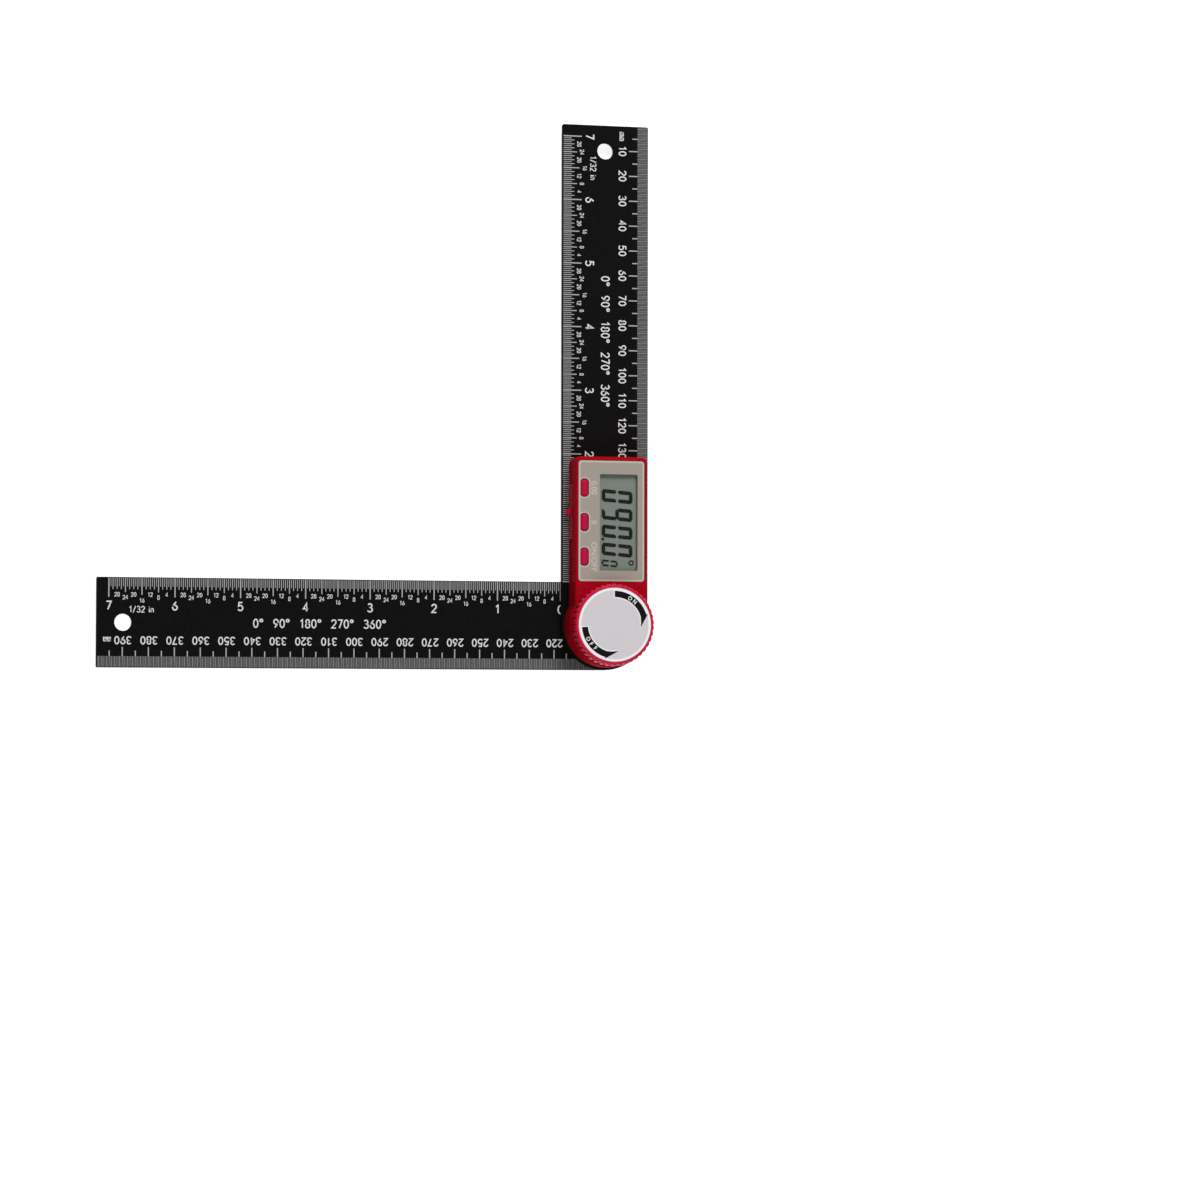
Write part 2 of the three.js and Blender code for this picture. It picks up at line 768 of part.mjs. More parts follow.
const blackNylon = { color: 0x171516, roughness: 0.55, metalness: 0 };
const redPlastic = { color: 0x930c1c, roughness: 0.38, metalness: 0 };
const crimsonPlastic = { color: 0xb01034, roughness: 0.42, metalness: 0 };
const plateFinish = { color: 0x9d9588, roughness: 0.5, metalness: 0 };
const clearPlastic = { color: 0xdfe6e0, roughness: 0.1, metalness: 0, transparent: true, opacity: 0.35 };
const displayFinish = { color: 0x7a857b, roughness: 0.25, metalness: 0 };
const palePlastic = { color: 0xcbc7cb, roughness: 0.45, metalness: 0 };
const steel = { color: 0xb8babd, roughness: 0.32, metalness: 1 };
const brass = { color: 0xc79a4b, roughness: 0.35, metalness: 1 };
const boardGreen = { color: 0x1e5a36, roughness: 0.5, metalness: 0 };
const whitePlastic = { color: 0xe4e2dc, roughness: 0.5, metalness: 0 };
const darkRubber = { color: 0x3a3a3c, roughness: 0.8, metalness: 0 };
const darkPlastic = { color: 0x242427, roughness: 0.55, metalness: 0 };

// Assembly

function named(name, solid, finish) {
  const mesh = new THREE.Mesh(toGeometry(solid), new THREE.MeshStandardMaterial(finish));
  mesh.name = name;
  return mesh;
}

function buildBaseArm() {
  const group = new THREE.Group();
  group.add(
    named('base_blade', baseBlade(), blackNylon),
    named('pivot_shaft', pivotShaft(), steel),
    named('friction_washer', frictionWasher(), whitePlastic),
    named('retaining_clip', retainingClip(), steel),
    named('rotor_hub', rotorHub(), whitePlastic),
    named('encoder_rotor', encoderRotor(), boardGreen),
  );
  return group;
}

function buildDisplayArm() {
  const group = new THREE.Group();
  group.add(
    named('display_blade', displayBlade(), blackNylon),
    named('pivot_bush', pivotBush(), brass),
    named('housing_shell', housingShell(), redPlastic),
    named('face_plate', facePlate(), plateFinish),
    named('display_lens', displayLens(), clearPlastic),
    named('display_glass', displayGlass(), displayFinish),
    named('display_spacer', displaySpacer(), whitePlastic),
    named('contact_strip_left', contactStrip(-1), darkRubber),
    named('contact_strip_right', contactStrip(1), darkRubber),
    named('circuit_board', circuitBoard(), boardGreen),
    named('controller_chip', controllerChip(), darkPlastic),
    named('timing_crystal', timingCrystal(), steel),
    named('tray_guide', trayGuide(), darkPlastic),
    named('battery_contact_upper', upperContact(), steel),
    named('battery_contact_rim', rimContact(), steel),
  );
  const switchNames = ['switch_zero', 'switch_hold', 'switch_power'];
  buttonPlaces().forEach((place, index) => {
    group.add(named(switchNames[index], buttonSwitch(place), darkPlastic));
  });
  screwPlaces().forEach((place, index) => {
    group.add(named(`housing_screw_${index + 1}`, housingScrew(place), steel));
  });
  boardScrewPlaces().forEach((place, index) => {
    group.add(named(`board_screw_${index + 1}`, boardScrew(place), steel));
  });
  return group;
}

function buildButtons() {
  const group = new THREE.Group();
  const buttonNames = ['button_zero', 'button_hold', 'button_power'];
  buttonPlaces().forEach((place, index) => {
    group.add(named(buttonNames[index], buttonCap(place), crimsonPlastic));
  });
  return group;
}

function buildBatteryTray() {
  const group = new THREE.Group();
  group.add(
    named('battery_tray', batteryTray(), crimsonPlastic),
    named('coin_cell', coinCell(), steel),
  );
  return group;
}

function buildKnob() {
  const group = new THREE.Group();
  group.add(
    named('knob_body', knobBody(), redPlastic),
    named('knob_disc', knobDisc(), palePlastic),
    named('threaded_insert', threadedInsert(), brass),
    named('clamp_washer', clampWasher(), steel),
  );
  return group;
}

const angleFinder = new THREE.Group();
angleFinder.name = 'angle_finder';
angleFinder.add(buildBaseArm(), buildDisplayArm(), buildButtons(), buildBatteryTray(), buildKnob());

export default angleFinder;
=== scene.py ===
"""Looks of a digital angle finder: two scaled arms, a display housing and a clamp knob.

Everything is in metres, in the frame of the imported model: the origin is on the pivot axis at the
underside of the base arm, +Z points out of the display and +Y along the display arm.
"""

import json
import math

import bmesh
import bpy
from mathutils import Matrix, Vector


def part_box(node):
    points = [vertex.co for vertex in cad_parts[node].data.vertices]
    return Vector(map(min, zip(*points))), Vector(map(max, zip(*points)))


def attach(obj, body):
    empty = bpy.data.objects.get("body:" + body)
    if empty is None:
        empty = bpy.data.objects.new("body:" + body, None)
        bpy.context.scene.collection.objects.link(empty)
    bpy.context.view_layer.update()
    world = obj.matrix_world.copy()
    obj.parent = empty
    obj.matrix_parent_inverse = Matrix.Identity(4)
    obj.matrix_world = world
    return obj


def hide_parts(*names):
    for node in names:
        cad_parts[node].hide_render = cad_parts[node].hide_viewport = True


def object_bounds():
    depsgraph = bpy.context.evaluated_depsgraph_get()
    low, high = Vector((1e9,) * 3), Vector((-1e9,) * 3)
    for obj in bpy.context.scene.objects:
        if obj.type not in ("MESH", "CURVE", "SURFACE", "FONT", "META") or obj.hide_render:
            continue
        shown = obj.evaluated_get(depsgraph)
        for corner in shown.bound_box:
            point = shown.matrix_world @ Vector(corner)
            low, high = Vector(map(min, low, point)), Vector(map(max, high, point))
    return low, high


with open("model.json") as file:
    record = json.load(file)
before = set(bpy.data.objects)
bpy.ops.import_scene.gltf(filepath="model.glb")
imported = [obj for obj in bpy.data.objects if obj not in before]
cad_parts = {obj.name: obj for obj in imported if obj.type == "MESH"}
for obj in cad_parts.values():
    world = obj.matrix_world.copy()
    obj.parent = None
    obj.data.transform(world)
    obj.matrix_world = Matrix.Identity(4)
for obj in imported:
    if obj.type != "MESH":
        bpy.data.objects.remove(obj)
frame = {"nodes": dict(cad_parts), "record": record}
cad_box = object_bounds()

MM = 0.001
INCH = 0.0254

# Places that come from the frame
base_low, base_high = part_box("base_blade")
display_low, display_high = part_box("display_blade")
shell_low, shell_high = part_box("housing_shell")
plate_low, plate_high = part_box("face_plate")
lens_low, lens_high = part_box("display_lens")
glass_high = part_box("display_glass")[1]
knob_low, knob_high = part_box("knob_body")
disc_low, disc_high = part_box("knob_disc")
tray_low, tray_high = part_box("battery_tray")
insert_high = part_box("threaded_insert")[1]
washer_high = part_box("clamp_washer")[1]

ARM_LENGTH = display_high.y
ARM_HALF = display_high.x
BASE_TOP = base_high.z
DECK = display_high.z
ROOF = shell_high.z
PLATE_TOP = plate_high.z
KNOB_TOP = knob_high.z
DISC_RADIUS = disc_high.x

# How far printed marks and painted highlight sheets stand out of, and reach into, what carries them
MARK_PROUD = 0.02 * MM
MARK_ROOT = 0.02 * MM
# The disc's face lies lower by the prints on it, so that they end at the model's top
DISC_TOP = disc_high.z - 3 * MARK_PROUD


# Mesh helpers


def linear(code):
    """The linear colour of an sRGB hex code."""
    parts = [int(code[i : i + 2], 16) / 255 for i in (1, 3, 5)]
    return tuple(p / 12.92 if p <= 0.04045 else ((p + 0.055) / 1.055) ** 2.4 for p in parts)


def add_object(name, mesh):
    obj = bpy.data.objects.new(name, mesh)
    bpy.context.scene.collection.objects.link(obj)
    return obj


def mesh_from(name, bm):
    bmesh.ops.recalc_face_normals(bm, faces=bm.faces)
    mesh = bpy.data.meshes.new(name)
    bm.to_mesh(mesh)
    bm.free()
    return mesh


def arc(centre, radius, start, end, steps):
    """Points on an arc, both ends included; angles in radians."""
    points = []
    for i in range(steps + 1):
        angle = start + (end - start) * i / steps
        points.append((centre[0] + radius * math.cos(angle), centre[1] + radius * math.sin(angle)))
    return points


def polar(radius, angle):
    return (radius * math.cos(angle), radius * math.sin(angle))


def circle(radius, steps, centre=(0, 0)):
    return arc(centre, radius, 0, math.tau, steps)[:-1]


def rounded_rectangle(width, length, radius, centre, steps=6):
    """The outline of a rectangle with rounded corners."""
    right, far = width / 2 - radius, length / 2 - radius
    quarter = math.pi / 2
    points = []
    for index, (sx, sy) in enumerate([(1, -1), (1, 1), (-1, 1), (-1, -1)]):
        corner = (centre[0] + sx * right, centre[1] + sy * far)
        points += arc(corner, radius, (index - 1) * quarter, index * quarter, steps)
    return points


def add_loft(bm, levels):
    """Adds a closed solid through levels, each an outline and a height, to a bmesh."""
    rings = [[bm.verts.new((x, y, z)) for x, y in outline] for outline, z in levels]
    for low, high in zip(rings, rings[1:]):
        for i in range(len(low)):
            j = (i + 1) % len(low)
            bm.faces.new((low[i], low[j], high[j], high[i]))
    bm.faces.new(rings[0][::-1])
    bm.faces.new(rings[-1])


def loft(name, levels):
    bm = bmesh.new()
    add_loft(bm, levels)
    return add_object(name, mesh_from(name, bm))


def middle_of(low, high):
    """The middle of a box, seen from above."""
    return ((low.x + high.x) / 2, (low.y + high.y) / 2)


def drum_levels(radius, low, high, steps=64, centre=(0, 0)):
    outline = circle(radius, steps, centre)
    return [(outline, low), (outline, high)]


def bake_modifiers(obj):
    """Replaces an object's mesh by what its modifiers make of it."""
    depsgraph = bpy.context.evaluated_depsgraph_get()
    mesh = bpy.data.meshes.new_from_object(obj.evaluated_get(depsgraph))
    obj.modifiers.clear()
    old = obj.data
    obj.data = mesh
    bpy.data.meshes.remove(old)


def combine(obj, other, operation):
    """Cuts another object out of one, or joins it to it, and removes the other."""
    modifier = obj.modifiers.new("combine", "BOOLEAN")
    modifier.operation = operation
    modifier.solver = "EXACT"
    modifier.object = other
    bake_modifiers(obj)
    bpy.data.objects.remove(other)


def cut(obj, level_lists, operation="DIFFERENCE"):
    """Cuts the lofts given by their levels out of an object, or joins them to it."""
    for levels in level_lists:
        combine(obj, loft("cutter", levels), operation)


def shade(obj, sharp_degrees=28):
    """Smooth faces with sharp edges where the surface turns, and flat areas kept flat."""
    mesh = obj.data
    bm = bmesh.new()
    bm.from_mesh(mesh)
    for face in bm.faces:
        face.smooth = True
    for edge in bm.edges:
        edge.smooth = edge.is_manifold and edge.calc_face_angle(0) < math.radians(sharp_degrees)
    bm.to_mesh(mesh)
    bm.free()
    weighted = obj.modifiers.new("weighted normals", "WEIGHTED_NORMAL")
    weighted.keep_sharp = True
    weighted.weight = 100


def dress(obj, body, material, replaced=()):
    """Gives a piece its material, its body and the nodes that it stands for."""
    obj.data.materials.clear()
    obj.data.materials.append(material)
    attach(obj, body)
    if replaced:
        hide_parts(*replaced)
    return obj


# Materials


def node_material(name):
    material = bpy.data.materials.new(name)
    material.use_nodes = True
    nodes = material.node_tree.nodes
    return material, nodes, material.node_tree.links, nodes["Principled BSDF"]


NOISE_DETAIL = 4
RAMP_ENDS = (0.35, 0.65)
GRAIN_HEIGHT = 0.05 * MM


def speckled(name, colour, second, roughness, spread, grain, bump, metallic=0.0, sheen=0.5):
    """A surface whose colour and gloss vary with fine noise, over a fine moulded grain."""
    material, nodes, links, shader = node_material(name)
    place = nodes.new("ShaderNodeTexCoord")
    noise = nodes.new("ShaderNodeTexNoise")
    noise.inputs["Scale"].default_value = grain
    noise.inputs["Detail"].default_value = NOISE_DETAIL
    ramp = nodes.new("ShaderNodeValToRGB")
    for stop, position, code in zip(ramp.color_ramp.elements, RAMP_ENDS, (colour, second)):
        stop.position = position
        stop.color = (*linear(code), 1)
    gloss = nodes.new("ShaderNodeMapRange")
    gloss.inputs["To Min"].default_value = roughness - spread
    gloss.inputs["To Max"].default_value = roughness + spread
    relief = nodes.new("ShaderNodeBump")
    relief.inputs["Strength"].default_value = bump
    relief.inputs["Distance"].default_value = GRAIN_HEIGHT
    links.new(place.outputs["Object"], noise.inputs["Vector"])
    links.new(noise.outputs["Fac"], ramp.inputs["Fac"])
    links.new(noise.outputs["Fac"], gloss.inputs["Value"])
    links.new(noise.outputs["Fac"], relief.inputs["Height"])
    links.new(ramp.outputs["Color"], shader.inputs["Base Color"])
    links.new(gloss.outputs["Result"], shader.inputs["Roughness"])
    links.new(relief.outputs["Normal"], shader.inputs["Normal"])
    shader.inputs["Metallic"].default_value = metallic
    shader.inputs["Specular IOR Level"].default_value = sheen
    return material


BRUSHED_SPREAD = 0.08
BRUSHED_GRAIN = 900
BRUSHED_BUMP = 0.12


def brushed(name, colour, second, roughness, stretch):
    """Metal with fine turned or brushed lines, the noise stretched along one way."""
    material = speckled(name, colour, second, roughness, BRUSHED_SPREAD, BRUSHED_GRAIN, BRUSHED_BUMP, 1.0)
    nodes, links = material.node_tree.nodes, material.node_tree.links
    place = next(n for n in nodes if n.type == "TEX_COORD")
    noise = next(n for n in nodes if n.type == "TEX_NOISE")
    mapping = nodes.new("ShaderNodeMapping")
    mapping.inputs["Scale"].default_value = stretch
    links.new(place.outputs["Object"], mapping.inputs["Vector"])
    links.new(mapping.outputs["Vector"], noise.inputs["Vector"])
    return material


LENS_NOISE = 300
LENS_HAZE = (0.05, 0.1)
LENS_TINT = "#4a504a"
LENS_ALPHA = 0.05


def clear_lens_material():
    """A thin clear window with a faint haze, so that the display shows through it."""
    material, nodes, links, shader = node_material("clear_lens")
    place = nodes.new("ShaderNodeTexCoord")
    noise = nodes.new("ShaderNodeTexNoise")
    noise.inputs["Scale"].default_value = LENS_NOISE
    haze = nodes.new("ShaderNodeMapRange")
    haze.inputs["To Min"].default_value = LENS_HAZE[0]
    haze.inputs["To Max"].default_value = LENS_HAZE[1]
    links.new(place.outputs["Object"], noise.inputs["Vector"])
    links.new(noise.outputs["Fac"], haze.inputs["Value"])
    links.new(haze.outputs["Result"], shader.inputs["Roughness"])
    shader.inputs["Base Color"].default_value = (*linear(LENS_TINT), 1)
    shader.inputs["Alpha"].default_value = LENS_ALPHA
    return material


# Name, two colours, roughness and its spread, scale of the grain and its strength
NYLON = speckled("black_nylon", "#0d0c0d", "#131112", 0.6, 0.06, 1400, 0.35, sheen=0.015)
HOUSING_RED = speckled("housing_red", "#9a0718", "#a40b1d", 0.42, 0.05, 1600, 0.22, sheen=0.003)
KNOB_RED = speckled("knob_red", "#c20d31", "#cc1137", 0.3, 0.05, 1600, 0.22, sheen=0.1)
CRIMSON = speckled("button_crimson", "#af0d36", "#b9113c", 0.45, 0.05, 1500, 0.25, sheen=0.05)
TRAY_RED = speckled("tray_red", "#b30c2e", "#bd1134", 0.42, 0.05, 1500, 0.25, sheen=0.05)
PLATE = speckled("face_plate", "#978e83", "#9c9388", 0.5, 0.05, 2200, 0.2, sheen=0.1)
# Pale paint for painted highlights: a line along the face plate's edge and rings around its button holes
PLATE_EDGE_HIGHLIGHT = speckled("plate_edge_highlight", "#a9b2a1", "#b0b8a8", 0.45, 0.05, 2000, 0.2, sheen=0.1)
LENS = clear_lens_material()
PANEL = speckled("display_panel", "#7a837a", "#7f887e", 0.4, 0.05, 2600, 0.1, sheen=0.05)
DISC = speckled("knob_disc", "#c4bfc3", "#cac5c9", 0.45, 0.05, 1800, 0.18, sheen=0.3)
WHITE_INK = speckled("print_white", "#d2d2d1", "#dcdcda", 0.5, 0.05, 3000, 0.1, sheen=0.05)
TICK_INK = speckled("tick_grey", "#a4a4a3", "#acacab", 0.5, 0.05, 3000, 0.1, sheen=0.05)
RING_INK = speckled("ring_white", "#e4e2e4", "#eceaec", 0.5, 0.05, 3000, 0.1, sheen=0.1)
BLACK_INK = speckled("print_black", "#121012", "#181618", 0.55, 0.05, 3000, 0.1, sheen=0.02)
SEGMENT_INK = speckled("display_ink", "#0c0f0d", "#121512", 0.5, 0.05, 3000, 0.1, sheen=0.02)
LABEL_INK = speckled("label_ink", "#bab1aa", "#c1b9b2", 0.5, 0.05, 3000, 0.1, sheen=0.1)
STEEL = brushed("steel", "#a9abad", "#bfc1c3", 0.34, (1, 6, 1))
CELL_STEEL = brushed("cell_steel", "#c2c3c4", "#d2d2d2", 0.25, (5, 1, 1))
BRASS = brushed("brass", "#b98a3e", "#cda052", 0.34, (1, 1, 7))
BOARD = speckled("circuit_board", "#1b5a35", "#236a40", 0.42, 0.06, 500, 0.3)
WHITE_PLASTIC = speckled("white_plastic", "#dedcd6", "#e6e4de", 0.5, 0.05, 1500, 0.2)
DARK_PLASTIC = speckled("dark_plastic", "#222225", "#2a2a2d", 0.5, 0.06, 1500, 0.3)
RUBBER = speckled("strip_rubber", "#333336", "#3d3d40", 0.75, 0.06, 1200, 0.3)

CAD_FINISHES = {
    "black_nylon": NYLON,
    "housing_red": HOUSING_RED,
    "knob_red": KNOB_RED,
    "button_crimson": CRIMSON,
    "face_plate": PLATE,
    "clear_lens": LENS,
    "display_panel": PANEL,
    "knob_disc": DISC,
    "steel": STEEL,
    "cell_steel": CELL_STEEL,
    "brass": BRASS,
    "circuit_board": BOARD,
    "white_plastic": WHITE_PLASTIC,
    "dark_plastic": DARK_PLASTIC,
    "strip_rubber": RUBBER,
}


def finish_cad_nodes():
    """Every node that stays in view gets its slot's procedural material."""
    for entry in frame["record"]["subparts"]:
        node = frame["nodes"][entry["node"]]
        node.data.materials.clear()
        node.data.materials.append(CAD_FINISHES[entry["material_slot"]])


# Arms


ARM_EDGE = 0.18 * MM
ARM_CORNER = 0.5 * MM
ARM_END_STEPS = 96
ARM_CORNER_STEPS = 4
HANG_HOLE_RADIUS = 3.3 * MM
HANG_HOLE_INSET = 10.2 * MM
HOLE_CHAMFER = 0.25 * MM
OVERRUN = 2 * MM


def arm_outline(inset):
    """Round about the pivot and square at the far end, with the arm along +Y."""
    half = ARM_HALF - inset
    corner = ARM_CORNER - inset
    middle = ARM_HALF - ARM_CORNER
    far = ARM_LENGTH - ARM_CORNER
    points = arc((0, 0), half, math.pi, math.tau, ARM_END_STEPS)
    points += arc((middle, far), corner, 0, math.pi / 2, ARM_CORNER_STEPS)
    points += arc((-middle, far), corner, math.pi / 2, math.pi, ARM_CORNER_STEPS)
    return points


def rounded_levels(outline, low, high, edge, steps=3, both=True):
    """Levels of a slab with its edges rounded. outline(inset) gives its outline."""
    levels = []
    for i in range(steps + 1):
        angle = math.pi / 2 * i / steps
        rise = edge * math.sin(angle)
        inset = edge * (1 - math.cos(angle))
        levels.append((outline(inset), high - edge + rise))
    if both:
        lower = [(points, low + high - z) for points, z in levels]
        return lower[::-1] + levels
    return [(outline(0), low)] + levels


def flared_hole(radius, low, high, centre, chamfer=HOLE_CHAMFER, steps=48):
    """A hole's cutter, flared to leave a chamfer at both mouths."""
    wide, narrow = circle(radius + chamfer, steps, centre), circle(radius, steps, centre)
    mouth = circle(radius + chamfer + OVERRUN, steps, centre)
    return [
        (mouth, low - OVERRUN),
        (wide, low),
        (narrow, low + chamfer),
        (narrow, high - chamfer),
        (wide, high),
        (mouth, high + OVERRUN),
    ]


def turned(levels, angle):
    """Levels turned about the pivot axis."""
    c, s = math.cos(angle), math.sin(angle)
    return [([(c * x - s * y, s * x + c * y) for x, y in outline], z) for outline, z in levels]


SINK_RADIUS = 1.9 * MM
SHANK_RADIUS = 1.0 * MM
SINK_DEPTH = 1.0 * MM
SINK_STEPS = 32


def screw_sink(node):
    """The countersunk hole under a housing screw."""
    centre = middle_of(*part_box(node))
    head, shank = circle(SINK_RADIUS, SINK_STEPS, centre), circle(SHANK_RADIUS, SINK_STEPS, centre)
    return [
        (head, display_low.z - OVERRUN),
        (head, display_low.z),
        (shank, display_low.z + SINK_DEPTH),
        (shank, DECK + OVERRUN),
    ]


BUSH_BORE_RADIUS = 5.85 * MM
FLANGE_RECESS_RADIUS = 9.05 * MM
FLANGE_RECESS_TOP = 0.9 * MM
KEY_HOLE_RADIUS = 6.5 * MM
WASHER_RECESS_RADIUS = 12.3 * MM


def make_arms():
    levels = rounded_levels(arm_outline, display_low.z, DECK, ARM_EDGE)
    hang = (0, ARM_LENGTH - HANG_HOLE_INSET)
    hole = flared_hole(HANG_HOLE_RADIUS, display_low.z, DECK, hang)
    arm = loft("display_arm_plate", levels)
    bore = drum_levels(BUSH_BORE_RADIUS, display_low.z - OVERRUN, DECK + OVERRUN)
    cut(arm, [hole, bore] + [screw_sink(f"housing_screw_{i}") for i in range(1, 5)])
    shade(arm)
    dress(arm, "display_arm", NYLON, ["display_blade"])

    quarter = math.pi / 2
    levels = turned(rounded_levels(arm_outline, base_low.z, BASE_TOP, ARM_EDGE), quarter)
    hole = turned(flared_hole(HANG_HOLE_RADIUS, base_low.z, BASE_TOP, hang), quarter)
    arm = loft("base_arm_plate", levels)
    flange = drum_levels(FLANGE_RECESS_RADIUS, base_low.z - OVERRUN, FLANGE_RECESS_TOP)
    key = drum_levels(KEY_HOLE_RADIUS, base_low.z - OVERRUN, BASE_TOP + OVERRUN, steps=6)
    recess = drum_levels(WASHER_RECESS_RADIUS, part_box("friction_washer")[0].z, BASE_TOP + OVERRUN)
    cut(arm, [hole, flange, key, recess])
    shade(arm)
    dress(arm, "base_arm", NYLON, ["base_blade"])


# Printed scales


INCH_START = 17.5 * MM
SCALE_INCHES = 7
INCH_PARTS = 32
HALF_MM = 0.5 * MM
# The ticks' widths and how far they reach in from the arm's edge
HALF_MM_TICK = (0.1 * MM, 4.35 * MM)
ONE_MM_TICK = (0.17 * MM, 4.35 * MM)
FIVE_MM_TICK = (0.42 * MM, 6.5 * MM)
TEN_MM_TICK = (0.42 * MM, 7.9 * MM)
# The same for the inch side, each with its number of ticks in an inch
INCH_TICKS = [
    (1, 0.44 * MM, 7.7 * MM),
    (2, 0.4 * MM, 6.8 * MM),
    (4, 0.36 * MM, 5.8 * MM),
    (16, 0.29 * MM, 4.7 * MM),
    (32, 0.24 * MM, 3.6 * MM),
]
EDGE_CLEAR = 0.3 * MM


def add_tick(bm, axes, place, edge_side, tick, top, start=EDGE_CLEAR):
    """Adds one printed bar at a place along the arm, on its edge at either side of its axis."""
    width, length = tick
    near, far = place - width / 2, place + width / 2
    left, right = sorted((edge_side * (ARM_HALF - start), edge_side * (ARM_HALF - length)))
    u, v = axes
    corners = [(near, left), (far, left), (far, right), (near, right)]
    outline = [(a * u[0] + b * v[0], a * u[1] + b * v[1]) for a, b in corners]
    add_loft(bm, [(outline, top - MARK_ROOT), (outline, top + MARK_PROUD)])


def add_metric_ticks(bm, axes, near, top):
    """Ticks at each half millimetre from the arm's far end, longer at each 5 and 10 mm."""
    for step in range(1, round(ARM_LENGTH / HALF_MM)):
        place = ARM_LENGTH - step * HALF_MM
        if place < near:
            break
        add_tick(bm, axes, place, 1, HALF_MM_TICK if step % 2 else ONE_MM_TICK, top)
        if step % 10 == 0:
            tick = TEN_MM_TICK if step % 20 == 0 else FIVE_MM_TICK
            add_tick(bm, axes, place, 1, tick, top, ONE_MM_TICK[1])


def add_inch_ticks(bm, axes, top):
    """Ticks at each 1/32 inch, longer at the sixteenths, quarters, halves and whole inches."""
    for step in range(SCALE_INCHES * INCH_PARTS + 1):
        place = INCH_START + step * INCH / INCH_PARTS
        width, length = next((w, d) for n, w, d in INCH_TICKS if step % (INCH_PARTS // n) == 0)
        add_tick(bm, axes, place, -1, (width, length), top)


# Printed figures, drawn as strokes in a unit height. Each glyph has a width and its strokes.


def oval(x, y, across, up, start, end, steps=10):
    """Points on an oval's arc, from start to end in degrees."""
    points = []
    for i in range(steps + 1):
        angle = math.radians(start + (end - start) * i / steps)
        points.append((x + across * math.cos(angle), y + up * math.sin(angle)))
    return points


def loop(x, y, across, up):
    """A closed oval: its last point is its first again."""
    points = oval(x, y, across, up, 0, 360, 16)
    return points[:-1] + points[:1]


GLYPHS = {
    "0": (0.5, [loop(0.25, 0.5, 0.25, 0.5)]),
    "1": (0.4, [[(0.05, 0.76), (0.27, 1.0), (0.27, 0.0)]]),
    "2": (0.5, [oval(0.25, 0.73, 0.25, 0.27, 175, -35) + [(0.0, 0.0), (0.5, 0.0)]]),
    "3": (0.5, [oval(0.23, 0.76, 0.22, 0.24, 155, -90) + oval(0.23, 0.27, 0.27, 0.27, 65, -155)]),
    "4": (0.5, [[(0.37, 0.0), (0.37, 1.0), (0.0, 0.3), (0.5, 0.3)]]),
    "5": (0.5, [[(0.45, 1.0), (0.08, 1.0), (0.04, 0.56)] + oval(0.22, 0.32, 0.28, 0.32, 100, -150)]),
    "6": (0.5, [[(0.38, 1.0), (0.13, 0.66), (0.02, 0.38)], loop(0.25, 0.29, 0.25, 0.29)]),
    "7": (0.5, [[(0.0, 1.0), (0.5, 1.0), (0.16, 0.0)]]),
    "8": (0.5, [loop(0.25, 0.75, 0.21, 0.25), loop(0.25, 0.25, 0.25, 0.26)]),
    "9": (0.5, [[(0.12, 0.0), (0.37, 0.34), (0.48, 0.62)], loop(0.25, 0.71, 0.25, 0.29)]),
    "m": (0.62, [[(0.0, 0.0), (0.0, 0.66)],
                 oval(0.155, 0.4, 0.155, 0.24, 180, 0) + [(0.31, 0.0)],
                 oval(0.465, 0.4, 0.155, 0.24, 180, 0) + [(0.62, 0.0)]]),
    "i": (0.06, [[(0.03, 0.0), (0.03, 0.62)], [(0.03, 0.84), (0.03, 0.96)]]),
    "n": (0.4, [[(0.0, 0.0), (0.0, 0.66)], oval(0.2, 0.4, 0.2, 0.24, 180, 0) + [(0.4, 0.0)]]),
    "/": (0.4, [[(0.0, -0.05), (0.4, 1.05)]]),
    "°": (0.32, [loop(0.16, 0.85, 0.16, 0.15)]),
    " ": (0.3, []),
}
GLYPH_GAP = 0.24
FIGURE_STROKE = 0.14
FINE_STROKE = 0.13
# The least cosine that widens a stroke at a bend
BEND_LEAST = 0.5


def add_ribbon(bm, points, width, low, high):
    """Adds a flat raised stroke along points. It is closed where they end as they start."""
    closed = points[0] == points[-1]
    path = [Vector(p) for p in (points[:-1] if closed else points)]
    count = len(path)
    rings = []
    for i, point in enumerate(path):
        steps = []
        if closed or i > 0:
            steps.append((point - path[i - 1]).normalized())
        if closed or i < count - 1:
            steps.append((path[(i + 1) % count] - point).normalized())
        along = sum(steps, Vector((0, 0))).normalized()
        side = Vector((-along.y, along.x))
        lean = abs(side.dot(Vector((-steps[0].y, steps[0].x))))
        reach = side * (width / 2 / max(lean, BEND_LEAST))
        left, right = point + reach, point - reach
        corners = [(left, low), (right, low), (right, high), (left, high)]
        rings.append([bm.verts.new((corner.x, corner.y, z)) for corner, z in corners])
    pairs = list(zip(rings, rings[1:])) + ([(rings[-1], rings[0])] if closed else [])
    for first, second in pairs:
        for k in range(4):
            m = (k + 1) % 4
            bm.faces.new((first[k], second[k], second[m], first[m]))
    if not closed:
        bm.faces.new(rings[0])
        bm.faces.new(rings[-1][::-1])


def add_figures(bm, words, height, place, baseline, up, top, stroke=FIGURE_STROKE, breadth=1.0):
    """Adds figures centred on place. stroke is their line's width as a share of their height."""
    rise = height * (1 - stroke)
    run = rise * breadth
    length = sum(GLYPHS[c][0] for c in words) + GLYPH_GAP * (len(words) - 1)
    start = -length / 2
    for character in words:
        width, strokes = GLYPHS[character]
        for points in strokes:
            path = []
            for x, y in points:
                a, b = (start + x) * run, (y - 0.5) * rise
                path.append([p + a * q + b * r for p, q, r in zip(place, baseline, up)])
            add_ribbon(bm, path, stroke * height, top - MARK_ROOT, top + MARK_PROUD)
        start += width + GLYPH_GAP


